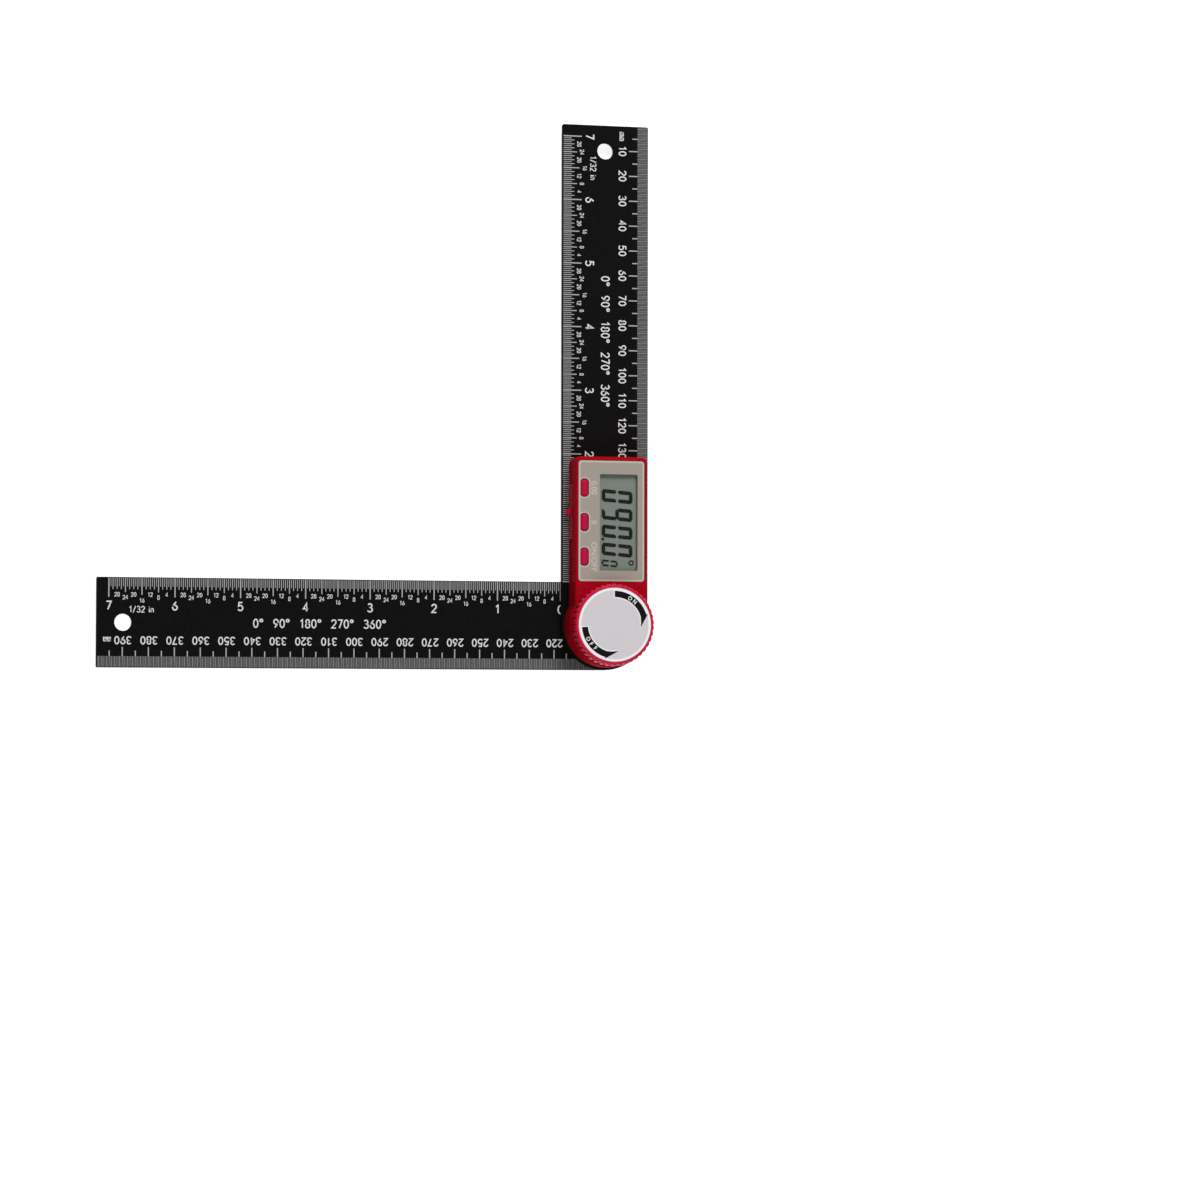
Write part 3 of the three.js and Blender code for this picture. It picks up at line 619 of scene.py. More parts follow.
def letter_mesh(words, bold=0.0, depth=0.0):
    """A mesh of words in the built-in face at size 1, drawn bolder and extruded both ways by depth."""
    curve = bpy.data.curves.new("lettering", "FONT")
    curve.body = words
    curve.size = 1
    curve.resolution_u = 4
    curve.offset = bold
    curve.extrude = depth
    curve.align_x = "CENTER"
    holder = add_object("lettering", curve)
    depsgraph = bpy.context.evaluated_depsgraph_get()
    mesh = bpy.data.meshes.new_from_object(holder.evaluated_get(depsgraph))
    bpy.data.objects.remove(holder)
    bpy.data.curves.remove(curve)
    return mesh


CAPITAL = letter_mesh("H")
CAP_HEIGHT = max(v.co.y for v in CAPITAL.vertices)
bpy.data.meshes.remove(CAPITAL)
LETTER_DEPTH = 0.5
LETTER_BREADTH = 0.92


def add_text(bm, words, height, place, baseline, up, top, bold, breadth=LETTER_BREADTH):
    """Adds raised lettering, centred on place, to a bmesh. baseline and up are unit directions."""
    mesh = letter_mesh(words, bold, LETTER_DEPTH)
    xs = [v.co.x for v in mesh.vertices]
    scale = height / CAP_HEIGHT
    middle = (min(xs) + max(xs)) / 2
    for vertex in mesh.vertices:
        x = (vertex.co.x - middle) * scale * breadth
        y = (vertex.co.y - CAP_HEIGHT / 2) * scale
        z = top - MARK_ROOT + (vertex.co.z + LETTER_DEPTH) * (MARK_ROOT + MARK_PROUD)
        flat = [p + x * a + y * b for p, a, b in zip(place, baseline, up)]
        vertex.co = (*flat, z)
    bm.from_mesh(mesh)
    bpy.data.meshes.remove(mesh)


WELD = 0.001 * MM


def printed_piece(name, bm, body, material):
    bmesh.ops.remove_doubles(bm, verts=bm.verts, dist=WELD)
    obj = add_object(name, mesh_from(name, bm))
    return dress(obj, body, material)


# Each scale's figures: height, breadth as a share of their own and distance from the arm's edge
METRIC_FIGURE = 3.25 * MM
METRIC_FIGURE_BREADTH = 1.12
METRIC_FIGURE_INSET = 10.5 * MM
INCH_FIGURE = 3.65 * MM
INCH_FIGURE_BREADTH = 1.12
INCH_FIGURE_INSET = 11 * MM
SMALL_FIGURE = 1.75 * MM
SMALL_FIGURE_INSETS = {4: 6.7, 8: 7.8, 12: 6.7, 16: 9, 20: 6.7, 24: 7.8, 28: 6.7}
MM_MARK = {"height": 2.9 * MM, "end": 4.1 * MM}
INCH_MARK = {"height": 2.6 * MM, "end": 17.2 * MM, "inset": 12.4 * MM, "breadth": 1.02}
ANGLES_MARK = {"height": 3.65 * MM, "end": 86.5 * MM, "breadth": 1.04}
ANGLES = "0°  90°  180°  270°  360°"


def add_scale(arm):
    """The ticks and figures of one arm: arm holds its name, its axes and how its figures run."""
    bm, ticks = bmesh.new(), bmesh.new()
    axes, top = arm["axes"], arm["top"]
    metric, inches = arm["metric_text"], arm["inch_text"]
    u, v = axes

    def at(along, across):
        return (along * u[0] + across * v[0], along * u[1] + across * v[1])

    add_metric_ticks(ticks, axes, arm["metric_near"], top)
    add_inch_ticks(ticks, axes, top)
    printed_piece(arm["name"] + "_ticks", ticks, arm["name"], TICK_INK)
    metric_row = ARM_HALF - METRIC_FIGURE_INSET
    for value in range(10, arm["metric_last"] + 1, 10):
        figure = str(arm["metric_zero"] + arm["metric_sign"] * value)
        place = at(ARM_LENGTH - value * MM - arm["metric_shift"], metric_row)
        add_figures(bm, figure, METRIC_FIGURE, place, *metric, top, breadth=METRIC_FIGURE_BREADTH)
    mark = MM_MARK
    place = at(ARM_LENGTH - mark["end"], metric_row)
    add_figures(bm, "mm", mark["height"], place, *metric, top, FINE_STROKE, arm["mm_breadth"])
    for value in range(arm["inch_first"], SCALE_INCHES + 1):
        place = at(INCH_START + value * INCH, -(ARM_HALF - INCH_FIGURE_INSET))
        add_figures(bm, str(value), INCH_FIGURE, place, *inches, top, breadth=INCH_FIGURE_BREADTH)
    for inch in range(max(arm["inch_first"] - 1, 0), SCALE_INCHES):
        for part, inset in SMALL_FIGURE_INSETS.items():
            along = INCH_START + (inch + part / INCH_PARTS) * INCH
            if along > arm["small_near"]:
                place = at(along, inset * MM - ARM_HALF)
                add_figures(bm, str(part), SMALL_FIGURE, place, *inches, top)
    mark = INCH_MARK
    place = at(ARM_LENGTH - mark["end"], mark["inset"] - ARM_HALF)
    add_figures(bm, "1/32 in", mark["height"], place, *inches, top, FINE_STROKE, mark["breadth"])
    mark = ANGLES_MARK
    place = at(ARM_LENGTH - mark["end"], 0)
    add_figures(bm, ANGLES, mark["height"], place, *inches, top, FINE_STROKE, mark["breadth"])
    printed_piece(arm["name"] + "_figures", bm, arm["name"], WHITE_INK)


def make_scales():
    down, right, left, up = (0, -1), (1, 0), (-1, 0), (0, 1)
    add_scale(
        {
            "name": "display_arm",
            "axes": (up, right),
            "top": DECK,
            "metric_near": INCH_START,
            "metric_last": 130,
            "metric_zero": 0,
            "metric_sign": 1,
            "metric_text": (down, right),
            "metric_shift": 0,
            "mm_breadth": 0.86,
            "inch_text": (down, right),
            "inch_first": 2,
            "small_near": shell_high.y,
        }
    )
    add_scale(
        {
            "name": "base_arm",
            "axes": (left, down),
            "top": BASE_TOP,
            "metric_near": 0,
            "metric_last": 190,
            "metric_zero": 400,
            "metric_sign": -1,
            "metric_text": (left, down),
            "metric_shift": 0.2 * MM,
            "mm_breadth": 0.7,
            "inch_text": (right, up),
            "inch_first": 0,
            "small_near": 0,
        }
    )


# Housing


HOUSING_HALF = 14.6 * MM
HOUSING_CORNER = 2.4 * MM
HOUSING_CORNER_LEAST = 0.2 * MM
HOUSING_END = 16.6 * MM
HOUSING_BEVEL = 1.3 * MM
HOUSING_END_STEPS = 120
HOUSING_CORNER_STEPS = 8
HOUSING_WALL = 1.2 * MM
HOUSING_ROOF = 1.8 * MM
LENS_GAP = 0.1 * MM
SHAFT_HOLE = 3.2 * MM
DOOR_GAP = 0.3 * MM
DOORWAY_CORNER = 0.1 * MM
RECESS_CORNER = 1.25 * MM
RECESS_GAP = 0.06 * MM
WINDOW_CORNER = 0.8 * MM


def housing_outline(inset):
    """A round end about the pivot, joined to a box with rounded far corners."""
    half, end = HOUSING_HALF - inset, HOUSING_END - inset
    corner = max(HOUSING_CORNER - inset, HOUSING_CORNER_LEAST)
    meet = math.acos(half / end)
    points = arc((0, 0), end, math.pi - meet, math.tau + meet, HOUSING_END_STEPS)
    far = shell_high.y - inset - corner
    points += arc((half - corner, far), corner, 0, math.pi / 2, HOUSING_CORNER_STEPS)
    points += arc((-half + corner, far), corner, math.pi / 2, math.pi, HOUSING_CORNER_STEPS)
    return points


def opening(low, high, z_low, z_high, radius, grow=0.0, chamfer=0.0):
    """The cutter for a rounded opening in the roof, with a chamfer at its upper mouth."""
    width, length = high.x - low.x + 2 * grow, high.y - low.y + 2 * grow
    centre = middle_of(low, high)
    plain = rounded_rectangle(width, length, radius, centre)
    if not chamfer:
        return [(plain, z_low), (plain, z_high)]
    flare = rounded_rectangle(width + 2 * chamfer, length + 2 * chamfer, radius + chamfer, centre)
    spread = chamfer + OVERRUN
    wide = rounded_rectangle(width + 2 * spread, length + 2 * spread, radius + spread, centre)
    return [(plain, z_low), (plain, z_high - chamfer), (flare, z_high), (wide, z_high + OVERRUN)]


BUTTONS = ("zero", "hold", "power")
BUTTON_LENGTH = 6.8 * MM
BUTTON_CORNER = 1.3 * MM
BUTTON_FIT = 0.2 * MM
BUTTON_HOLE_CORNER = BUTTON_CORNER + BUTTON_FIT


def button_boxes():
    return [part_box(f"button_{name}") for name in BUTTONS]


def button_top_box(box):
    """The part of a button that shows: its cap without the longer flange below."""
    low, high = box
    middle = (low.y + high.y) / 2
    near = Vector((low.x, middle - BUTTON_LENGTH / 2, low.z))
    far = Vector((high.x, middle + BUTTON_LENGTH / 2, high.z))
    return near, far


def make_housing():
    levels = rounded_levels(housing_outline, shell_low.z, ROOF, HOUSING_BEVEL, steps=8, both=False)
    shell = loft("housing_case", levels)
    inner = housing_outline(HOUSING_WALL)
    cavity = [(inner, shell_low.z - OVERRUN), (inner, ROOF - HOUSING_ROOF)]
    width, length = 2 * (OVERRUN + HOUSING_WALL), tray_high.y - tray_low.y + 2 * DOOR_GAP
    centre = (-HOUSING_HALF, (tray_low.y + tray_high.y) / 2)
    door = rounded_rectangle(width, length, DOORWAY_CORNER, centre)
    doorway = [(door, shell_low.z - OVERRUN), (door, tray_high.z + DOOR_GAP)]
    recess = opening(plate_low, plate_high, plate_low.z, ROOF + OVERRUN, RECESS_CORNER, RECESS_GAP)
    under = ROOF - HOUSING_ROOF - OVERRUN
    window = opening(lens_low, lens_high, under, ROOF, WINDOW_CORNER, LENS_GAP)
    shaft = drum_levels(SHAFT_HOLE, under, ROOF + OVERRUN)
    holes = []
    for box in button_boxes():
        holes.append(opening(*button_top_box(box), under, ROOF, BUTTON_HOLE_CORNER, BUTTON_FIT))
    cut(shell, [cavity, doorway, recess, window, shaft] + holes)
    shade(shell)
    dress(shell, "display_arm", HOUSING_RED, ["housing_shell"])


PLATE_CORNER = 1.2 * MM
PLATE_EDGE = 0.12 * MM
WINDOW_MARGIN = 0.6 * MM
PLATE_WINDOW_CORNER = 0.7 * MM
PLATE_WINDOW_CHAMFER = 0.15 * MM
PLATE_HOLE_CHAMFER = 0.12 * MM
# Width of the painted highlight along the face plate's edge
EDGE_HIGHLIGHT_WIDTH = 0.75 * MM
# Width of the painted highlight rings around the button holes, and their gap from the holes
HALO_HIGHLIGHT_WIDTH = 0.42 * MM
HALO_HIGHLIGHT_GAP = 0.13 * MM


def window_box():
    """The plate's window, inside the lens's hidden border."""
    border = Vector((WINDOW_MARGIN, WINDOW_MARGIN, 0))
    return lens_low + border, lens_high - border


def ring_piece(name, outer, inner, low, high, body, slot, material):
    """A thin frame between two outlines with as many points."""
    bm = bmesh.new()
    loops = []
    for outline, z in ((outer, low), (outer, high), (inner, high), (inner, low)):
        loops.append([bm.verts.new((x, y, z)) for x, y in outline])
    for first, second in zip(loops, loops[1:] + loops[:1]):
        for i in range(len(first)):
            j = (i + 1) % len(first)
            bm.faces.new((first[i], first[j], second[j], second[i]))
    obj = add_object(name, mesh_from(name, bm))
    return dress(obj, body, material)


def make_face_plate():
    width, length = plate_high.x - plate_low.x, plate_high.y - plate_low.y
    centre = middle_of(plate_low, plate_high)

    def outline(inset):
        return rounded_rectangle(width - 2 * inset, length - 2 * inset, PLATE_CORNER - inset, centre)

    levels = rounded_levels(outline, plate_low.z, PLATE_TOP, PLATE_EDGE, both=False)
    plate = loft("face_plate_film", levels)
    heights = (plate_low.z - OVERRUN, PLATE_TOP)
    window = opening(*window_box(), *heights, PLATE_WINDOW_CORNER, chamfer=PLATE_WINDOW_CHAMFER)
    holes = []
    for box in button_boxes():
        top_box = button_top_box(box)
        holes.append(opening(*top_box, *heights, BUTTON_HOLE_CORNER, BUTTON_FIT, PLATE_HOLE_CHAMFER))
    cut(plate, [window] + holes)
    shade(plate)
    dress(plate, "display_arm", PLATE, ["face_plate"])

    # A pale line along the plate's edge is a painted highlight, a thin sheet laid on the plate
    low, high = PLATE_TOP - MARK_ROOT, PLATE_TOP + MARK_PROUD
    rim = outline(PLATE_EDGE), outline(EDGE_HIGHLIGHT_WIDTH)
    ring_piece("plate_edge_highlight", *rim, low, high, "display_arm", "face_plate", PLATE_EDGE_HIGHLIGHT)
    # Where a painted highlight ring around a button crosses the painted edge highlight it lies lower, so
    # that the two faces don't coincide
    high = PLATE_TOP + MARK_PROUD / 2
    for name, box in zip(BUTTONS, button_boxes()):
        near, far = button_top_box(box)
        middle = middle_of(near, far)
        sizes = []
        for grow in (BUTTON_FIT + HALO_HIGHLIGHT_GAP + HALO_HIGHLIGHT_WIDTH, BUTTON_FIT + HALO_HIGHLIGHT_GAP):
            w, d = far.x - near.x + 2 * grow, far.y - near.y + 2 * grow
            sizes.append(rounded_rectangle(w, d, BUTTON_CORNER + grow, middle, steps=8))
        ring_piece(f"button_hole_highlight_{name}", *sizes, low, high, "display_arm", "face_plate", PLATE_EDGE_HIGHLIGHT)


# How far a cap's round top draws in, how deep it falls, and its corners there
BUTTON_EDGE = 1.25 * MM
BUTTON_DROP = 1.0 * MM
BUTTON_TOP_CORNER = 0.25 * MM
BUTTON_FLANGE = 0.5 * MM
BUTTON_STEPS = 10
BUTTON_RINGS = 7


def make_buttons():
    for name, box in zip(BUTTONS, button_boxes()):
        low, high = button_top_box(box)
        centre = middle_of(low, high)
        width = high.x - low.x

        def outline(inset):
            w, d = width - 2 * inset, BUTTON_LENGTH - 2 * inset
            corner = max(BUTTON_CORNER - inset, BUTTON_TOP_CORNER)
            return rounded_rectangle(w, d, corner, centre, BUTTON_STEPS)

        levels = [(outline(0), low.z)]
        for i in range(BUTTON_RINGS + 1):
            angle = math.pi / 2 * i / BUTTON_RINGS
            inset = BUTTON_EDGE * (1 - math.cos(angle))
            levels.append((outline(inset), high.z - BUTTON_DROP * (1 - math.sin(angle))))
        cap = loft(f"button_cap_{name}", levels)
        flange = rounded_rectangle(width, box[1].y - box[0].y, BUTTON_CORNER, centre, BUTTON_STEPS)
        cut(cap, [[(flange, low.z), (flange, low.z + BUTTON_FLANGE)]], "UNION")
        shade(cap)
        dress(cap, f"button_{name}", CRIMSON, [f"button_{name}"])


LABEL_HEIGHT = 2.2 * MM
LABEL_ROW = -7.0 * MM
LABEL_BOLD = 0.01
LABELS = ("0.00", "II", "ON/OFF")


def make_labels():
    """Faint marks beside the buttons: zero the display, pause it, turn it on or off."""
    bm = bmesh.new()
    for words, box in zip(LABELS, button_boxes()):
        place = (LABEL_ROW, (box[0].y + box[1].y) / 2)
        add_text(bm, words, LABEL_HEIGHT, place, (0, -1), (1, 0), PLATE_TOP, LABEL_BOLD, 1.0)
    printed_piece("button_labels", bm, "display_arm", LABEL_INK)


# Display segments


DIGIT_BASE = -3.55 * MM
DIGIT_HEIGHT = 12.5 * MM
DIGIT_WIDTH = 4.95 * MM
DIGIT_PITCH = 7.05 * MM
DIGIT_START = 53.9 * MM
DIGIT_STROKE = 1.5 * MM
DIGIT_GAP = 0.24 * MM
DIGIT_SLANT = 0.085
SMALL_DIGIT_SHARE = 0.52
SMALL_DIGIT_OFFSET = 27.9 * MM
POINT_SIZE = 1.1 * MM
POINT_CORNER = 0.3 * MM
POINT_HEIGHT = 0.5 * MM
POINT_OFFSET = 19.9 * MM
DEGREE_RADIUS = 1.1 * MM
DEGREE_BORE = 0.55 * MM
DEGREE_HEIGHT = 8.4 * MM
DEGREE_OFFSET = 29.2 * MM
DEGREE_STEPS = 32
SEGMENTS_LIT = {"0": "abcdef", "9": "abcdfg"}
# How far segments stop short at their ends, as shares of half the stroke
FLAT_SHARE = 0.2
UPRIGHT_SHARE = 0.6


def segment_outlines(width, height, stroke, gap):
    """Outlines of the seven segments, x along the line of figures and y up."""
    half = stroke / 2
    short = half * UPRIGHT_SHARE

    def end(outer, inner):
        near, far = gap + short, width - gap - short
        return [(near, outer), (far, outer), (width - gap - stroke, inner), (gap + stroke, inner)]

    def flat(y):
        left, right = gap + half * FLAT_SHARE, width - gap - half * FLAT_SHARE
        return [(left, y), (left + half, y + half), (right - half, y + half), (right, y),
                (right - half, y - half), (left + half, y - half)]

    def bar(x, low, high, inward):
        centre, inner = x + inward * half, x + inward * stroke
        return [(x, low + short), (x, high - short), (centre, high),
                (inner, high - half), (inner, low + half), (centre, low)]

    middle = height / 2
    return {
        "a": end(height, height - stroke),
        "d": end(0, stroke),
        "g": flat(middle),
        "f": bar(0, middle + gap, height - gap, 1),
        "e": bar(0, gap, middle - gap, 1),
        "b": bar(width, middle + gap, height - gap, -1),
        "c": bar(width, gap, middle - gap, -1),
    }


def add_digit(bm, figure, start, share, low, high):
    """Adds one figure. Figures run along -Y and stand up along +X."""
    size = (DIGIT_WIDTH * share, DIGIT_HEIGHT * share, DIGIT_STROKE * share)
    outlines = segment_outlines(*size, DIGIT_GAP)
    for name in SEGMENTS_LIT[figure]:
        outline = [(DIGIT_BASE + y, start - x - DIGIT_SLANT * y) for x, y in outlines[name]]
        add_loft(bm, [(outline, low), (outline, high)])


def make_display():
    bm = bmesh.new()
    low, high = glass_high.z - MARK_ROOT, glass_high.z + 2 * MARK_PROUD
    for index, figure in enumerate("0900"):
        add_digit(bm, figure, DIGIT_START - index * DIGIT_PITCH, 1.0, low, high)
    add_digit(bm, "0", DIGIT_START - SMALL_DIGIT_OFFSET, SMALL_DIGIT_SHARE, low, high)
    centre = (DIGIT_BASE + POINT_HEIGHT, DIGIT_START - POINT_OFFSET)
    point = rounded_rectangle(POINT_SIZE, POINT_SIZE, POINT_CORNER, centre, steps=4)
    add_loft(bm, [(point, low), (point, high)])
    printed_piece("display_figures", bm, "display_arm", SEGMENT_INK)
    centre = (DEGREE_HEIGHT, DIGIT_START - DEGREE_OFFSET)
    ring = [circle(radius, DEGREE_STEPS, centre) for radius in (DEGREE_RADIUS, DEGREE_BORE)]
    ring_piece("display_degree", *ring, low, high, "display_arm", "display_ink", SEGMENT_INK)


# Knob


NOTCHES = 42
NOTCH_STEPS = 12
NOTCH_DEPTH = 0.6 * MM
# How narrow a notch is in its pitch and how round, its depth at the foot and where it runs out
NOTCH_NARROWING = 2.1
NOTCH_ROUNDING = 0.8
NOTCH_FOOT_SHARE = 0.8
NOTCH_FADE_SHARE = 0.8
INSERT_FIT = 0.05 * MM
WASHER_FIT = 0.3 * MM
DISC_EDGE = 0.2 * MM
DISC_STEPS = 128
RING_INSET = 0.22 * MM
RING_WIDTH = 0.83 * MM
KNOB_SHOULDER = 2.4 * MM
KNOB_SHOULDER_INSET = 1.0 * MM
KNOB_SHOULDER_RINGS = 9
KNOB_FOOT = 0.25 * MM
KNOB_SHARP_DEGREES = 40
DISC_FIT = 0.1 * MM


def knob_outline(radius, depth):
    """A circle with rounded notches between rounded ridges."""
    points = []
    count = NOTCHES * NOTCH_STEPS
    for i in range(count):
        angle = math.tau * i / count
        wave = 0.5 - 0.5 * math.cos(angle * NOTCHES)
        dip = max(0.0, 1 - wave * NOTCH_NARROWING) ** NOTCH_ROUNDING
        points.append(polar(radius - depth * dip, angle))
    return points


def make_knob():
    radius = knob_high.x
    levels = [
        (knob_outline(radius - KNOB_FOOT, NOTCH_DEPTH * NOTCH_FOOT_SHARE), knob_low.z),
        (knob_outline(radius, NOTCH_DEPTH), knob_low.z + KNOB_FOOT),
    ]
    for i in range(KNOB_SHOULDER_RINGS + 1):
        angle = math.pi / 2 * i / KNOB_SHOULDER_RINGS
        ring = radius - KNOB_SHOULDER_INSET * (1 - math.cos(angle))
        height = KNOB_TOP - KNOB_SHOULDER * (1 - math.sin(angle))
        fade = max(0.0, 1 - i / (KNOB_SHOULDER_RINGS * NOTCH_FADE_SHARE))
        levels.append((knob_outline(ring, NOTCH_DEPTH * fade), height))
    knob = loft("knob_grip", levels)
    seat = drum_levels(insert_high.y + INSERT_FIT, knob_low.z - OVERRUN, insert_high.z)
    washer = drum_levels(washer_high.x + WASHER_FIT, knob_low.z - OVERRUN, washer_high.z)
    disc = drum_levels(DISC_RADIUS + DISC_FIT, disc_low.z, KNOB_TOP + OVERRUN, DISC_STEPS)
    cut(knob, [seat, washer, disc])
    shade(knob, KNOB_SHARP_DEGREES)
    dress(knob, "lock_knob", KNOB_RED, ["knob_body"])

    def disc_outline(inset):
        return circle(DISC_RADIUS - inset, DISC_STEPS)

    levels = rounded_levels(disc_outline, disc_low.z, DISC_TOP, DISC_EDGE, steps=4, both=False)
    plate = loft("knob_face", levels)
    shade(plate)
    dress(plate, "lock_knob", DISC, ["knob_disc"])
    low, high = DISC_TOP - MARK_ROOT, DISC_TOP + MARK_PROUD
    outer, inner = disc_outline(RING_INSET), disc_outline(RING_INSET + RING_WIDTH)
    ring_piece("knob_face_ring", outer, inner, low, high, "lock_knob", "print_white", RING_INK)
    make_arrows()


ARROW_INNER = 10.85 * MM
ARROW_OUTER = 13.3 * MM
ARROW_HEAD_OUTER = 13.95 * MM
ARROW_HEAD_INNER = 10.55 * MM
ARROW_TIP = 10.35 * MM
ARROW_HALO = 0.42 * MM
ARROW_STEPS = 24
# Each arrow's tail, neck and tip in degrees, and its word
ARROWS = [(90.5, 18, -6, "ON"), (184.5, 253, 279, "OFF")]
ARROW_LETTER = 1.5 * MM
ARROW_LETTER_STEP = math.radians(11)
ARROW_LETTER_BOLD = 0.02
# How the halo grows at the neck, beyond the tip and inside it, as shares of its width
HALO_NECK_SHARE = 0.4
HALO_TIP_SHARE = 2.2
HALO_INNER_SHARE = 0.3


def arrow_outline(start, head, tip, grow):
    """A curved arrow between two radii, from start to tip, in degrees about the knob's axis."""
    way = 1 if tip > start else -1
    lean = math.degrees(grow / ARROW_OUTER) * way
    first = math.radians(start - lean)
    neck = math.radians(head - lean * HALO_NECK_SHARE)
    point = math.radians(tip + lean * HALO_TIP_SHARE)
    outer = arc((0, 0), ARROW_OUTER + grow, first, neck, ARROW_STEPS)
    inner = arc((0, 0), ARROW_INNER - grow, neck, first, ARROW_STEPS)
    head_points = [
        polar(ARROW_HEAD_OUTER + grow, neck - math.radians(lean)),
        polar(ARROW_TIP - grow * HALO_INNER_SHARE, point),
        polar(ARROW_HEAD_INNER - grow, (neck + point) / 2),
    ]
    return outer + head_points + inner


def make_arrows():
    top = DISC_TOP
    dark, pale = bmesh.new(), bmesh.new()
    for start, head, tip, words in ARROWS:
        halo = arrow_outline(start, head, tip, ARROW_HALO)
        body = arrow_outline(start, head, tip, 0.0)
        add_loft(pale, [(halo, top - MARK_ROOT), (halo, top + MARK_PROUD / 2)])
        add_loft(dark, [(body, top), (body, top + 2 * MARK_PROUD)])
        middle = math.radians((start + head) / 2)
        step = ARROW_LETTER_STEP * (-1 if tip < start else 1)
        reach = (ARROW_INNER + ARROW_OUTER) / 2
        offset = (len(words) - 1) / 2
        for index, letter in enumerate(words):
            angle = middle + (index - offset) * step
            up = polar(1, angle)
            if tip > start:
                up = (-up[0], -up[1])
            baseline = (up[1], -up[0])
            place = polar(reach, angle)
            high = top + 2 * MARK_PROUD
            add_text(pale, letter, ARROW_LETTER, place, baseline, up, high, ARROW_LETTER_BOLD)
    printed_piece("knob_arrows", dark, "lock_knob", BLACK_INK)
    printed_piece("knob_arrow_edges", pale, "lock_knob", RING_INK)


# Battery tray


TRAY_CORNER = 0.25 * MM
TRAY_EDGE = 0.12 * MM
DOOR_THICKNESS = 1.4 * MM
BED_REAR = 8.0 * MM
CELL_POCKET_RADIUS = 10.15 * MM
NUB_REACH = 2.1 * MM
NUB_HALF = 1.3 * MM
NUB_ROOT = 1.0 * MM
# The tip's width and the stem's reach as shares of the nub's own, and how round its corners are
NUB_TIP_SHARE = 0.2
NUB_STEM_SHARE = 0.1
NUB_CORNER_SHARE = 0.45
NUB_RINGS = 6


def make_tray():
    """The tray's bed, its door and the rounded nub that it is pulled by."""
    cell_low, cell_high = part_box("coin_cell")
    near, far = tray_low.y, tray_high.y
    door_outer = tray_low.x + NUB_REACH
    middle = (near + far) / 2

    def slab(right, high):
        """The tray from its door's face to right, from its underside to high."""

        def outline(inset):
            width, length = right - door_outer - 2 * inset, far - near - 2 * inset
            centre = ((door_outer + right) / 2, middle)
            return rounded_rectangle(width, length, TRAY_CORNER, centre, steps=4)

        return rounded_levels(outline, tray_low.z, high, TRAY_EDGE, steps=2)

    tray = loft("battery_drawer", slab(BED_REAR, cell_high.z))
    heights, centre = (cell_low.z, cell_high.z + OVERRUN), middle_of(cell_low, cell_high)
    cut(tray, [drum_levels(CELL_POCKET_RADIUS, *heights, steps=96, centre=centre)])
    cut(tray, [slab(door_outer + DOOR_THICKNESS, tray_high.z)], "UNION")
    combine(tray, make_nub(door_outer, middle, (tray_low.z + tray_high.z) / 2), "UNION")
    shade(tray)
    dress(tray, "battery_drawer", TRAY_RED, ["battery_tray"])


def make_nub(face, middle, height):
    """A small rounded pull that stands out of the door along -X."""

    def section(half):
        corner = half * NUB_CORNER_SHARE
        return rounded_rectangle(2 * half, 2 * half, corner, (middle, height), steps=5)

    levels = [(section(NUB_HALF), -(face + NUB_ROOT))]
    for i in range(NUB_RINGS + 1):
        angle = math.pi / 2 * i / NUB_RINGS
        size = NUB_HALF * (NUB_TIP_SHARE + (1 - NUB_TIP_SHARE) * math.cos(angle))
        reach = NUB_REACH * (NUB_STEM_SHARE + (1 - NUB_STEM_SHARE) * math.sin(angle))
        levels.append((section(size), -(face - reach)))
    obj = loft("nub", levels)
    for vertex in obj.data.vertices:
        y, z, out = vertex.co
        vertex.co = (-out, y, z)
    bm = bmesh.new()
    bm.from_mesh(obj.data)
    bmesh.ops.recalc_face_normals(bm, faces=bm.faces)
    bm.to_mesh(obj.data)
    bm.free()
    return obj


# Floor, lights and camera


FLOOR_HALF = 3.0
FLOOR_DROP = 0.05 * MM
FLOOR_GREY = 0.45
FLOOR_ROUGHNESS = 0.9
FLOOR_SHEEN = 0.1
FLOOR_LIFT = 0.86


def make_floor():
    """A plain floor. Its glow whitens it where it is seen, and casts no light on the object."""
    material, nodes, links, shader = node_material("floor")
    shader.inputs["Base Color"].default_value = (FLOOR_GREY, FLOOR_GREY, FLOOR_GREY, 1)
    shader.inputs["Roughness"].default_value = FLOOR_ROUGHNESS
    shader.inputs["Specular IOR Level"].default_value = FLOOR_SHEEN
    seen = seen_by_eye(nodes, links)
    lift = nodes.new("ShaderNodeMath")
    lift.operation = "MULTIPLY"
    lift.inputs[1].default_value = FLOOR_LIFT
    links.new(seen, lift.inputs[0])
    shader.inputs["Emission Color"].default_value = (1, 1, 1, 1)
    links.new(lift.outputs["Value"], shader.inputs["Emission Strength"])
    bm = bmesh.new()
    signs = [(-1, -1), (1, -1), (1, 1), (-1, 1)]
    bm.faces.new([bm.verts.new((a * FLOOR_HALF, b * FLOOR_HALF, 0)) for a, b in signs])
    floor = add_object("floor", mesh_from("floor", bm))
    floor.location.z = cad_box[0].z - FLOOR_DROP
    floor.data.materials.append(material)


def seen_by_eye(nodes, links):
    """1 for what the camera sees, directly, mirrored or through something clear."""
    path = nodes.new("ShaderNodeLightPath")
    total = path.outputs["Is Camera Ray"]
    for ray in ("Is Glossy Ray", "Is Transmission Ray"):
        add = nodes.new("ShaderNodeMath")
        add.operation = "ADD"
        add.use_clamp = True
        links.new(total, add.inputs[0])
        links.new(path.outputs[ray], add.inputs[1])
        total = add.outputs["Value"]
    return total


WORLD_LEVEL = 0.22


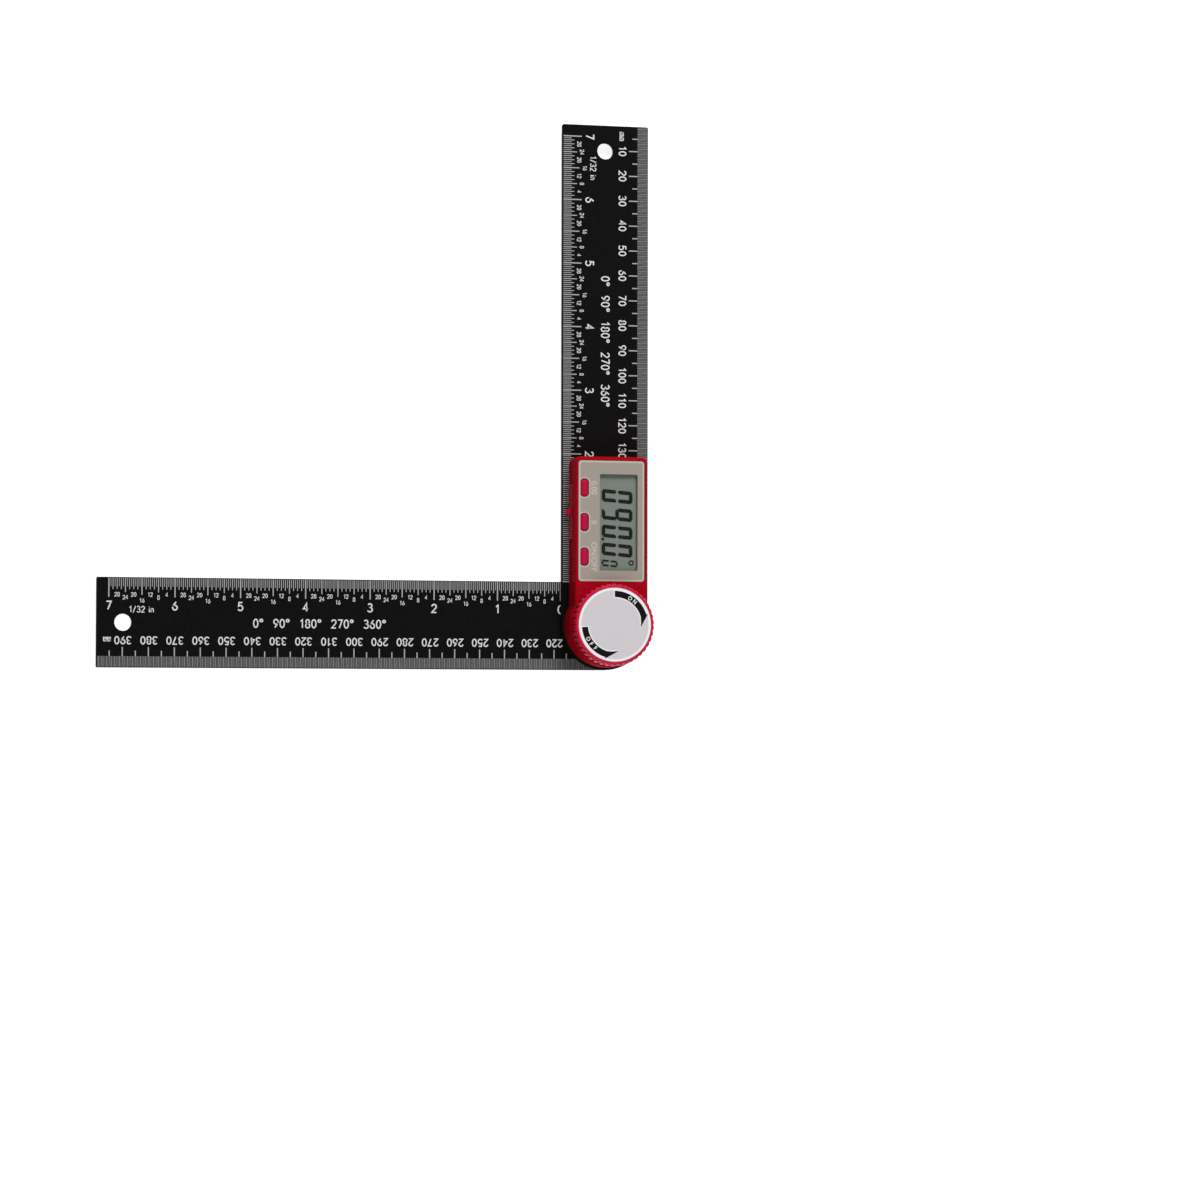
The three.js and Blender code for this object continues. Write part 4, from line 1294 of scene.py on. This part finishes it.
def make_world():
    world = bpy.data.worlds.new("studio")
    bpy.context.scene.world = world
    world.use_nodes = True
    nodes, links = world.node_tree.nodes, world.node_tree.links
    background = nodes["Background"]
    background.inputs["Color"].default_value = (1, 1, 1, 1)
    seen = seen_by_eye(nodes, links)
    level = nodes.new("ShaderNodeMapRange")
    level.inputs["To Min"].default_value = WORLD_LEVEL
    level.inputs["To Max"].default_value = 1.0
    links.new(seen, level.inputs["Value"])
    links.new(level.outputs["Result"], background.inputs["Strength"])


def make_light(name, place, target, size, power):
    data = bpy.data.lights.new(name, "AREA")
    data.shape = "DISK"
    data.size = size
    data.energy = power
    light = add_object(name, data)
    light.location = place
    direction = Vector(target) - Vector(place)
    light.rotation_euler = direction.to_track_quat("-Z", "Y").to_euler()


# The camera's place and turn, found by fitting the arms' edges and marks in the photograph
CAMERA_PLACE = (-292.62 * MM, -40.64 * MM, 1286.16 * MM + DECK)
CAMERA_RIGHT = Vector((0.97539, 0.00165, 0.22047))
CAMERA_UP = Vector((-0.01013, 0.99925, 0.03732))
FOCAL_PIXELS = 3322.85
PHOTO_PIXELS = 1200
SENSOR = 36.0
CLIP_RANGE = (0.05, 20)


def make_camera():
    data = bpy.data.cameras.new("camera")
    camera = add_object("camera", data)
    data.sensor_width = SENSOR
    data.sensor_fit = "HORIZONTAL"
    data.lens = FOCAL_PIXELS * SENSOR / PHOTO_PIXELS
    data.clip_start, data.clip_end = CLIP_RANGE
    back = CAMERA_RIGHT.cross(CAMERA_UP)
    turn = Matrix((CAMERA_RIGHT, CAMERA_UP, back)).transposed()
    camera.rotation_mode = "QUATERNION"
    camera.rotation_quaternion = turn.to_quaternion()
    camera.location = CAMERA_PLACE
    bpy.context.scene.camera = camera


# The lights' places, the point that they face, and each one's size and power
KEY_PLACE = (0.15, 1.15, 1.2)
FILL_PLACE = (0.0, -1.1, 1.3)
LIT_POINT = (-0.08, 0.08, 0)
KEY_LAMP = (0.8, 22.5)
FILL_LAMP = (1.3, 11)


def make_studio():
    make_floor()
    make_world()
    make_light("key", KEY_PLACE, LIT_POINT, *KEY_LAMP)
    make_light("fill", FILL_PLACE, LIT_POINT, *FILL_LAMP)
    bpy.context.scene.view_settings.view_transform = "Standard"


finish_cad_nodes()
make_camera()
make_studio()
make_arms()
make_scales()
make_housing()
make_face_plate()
make_buttons()
make_labels()
make_display()
make_knob()
make_tray()
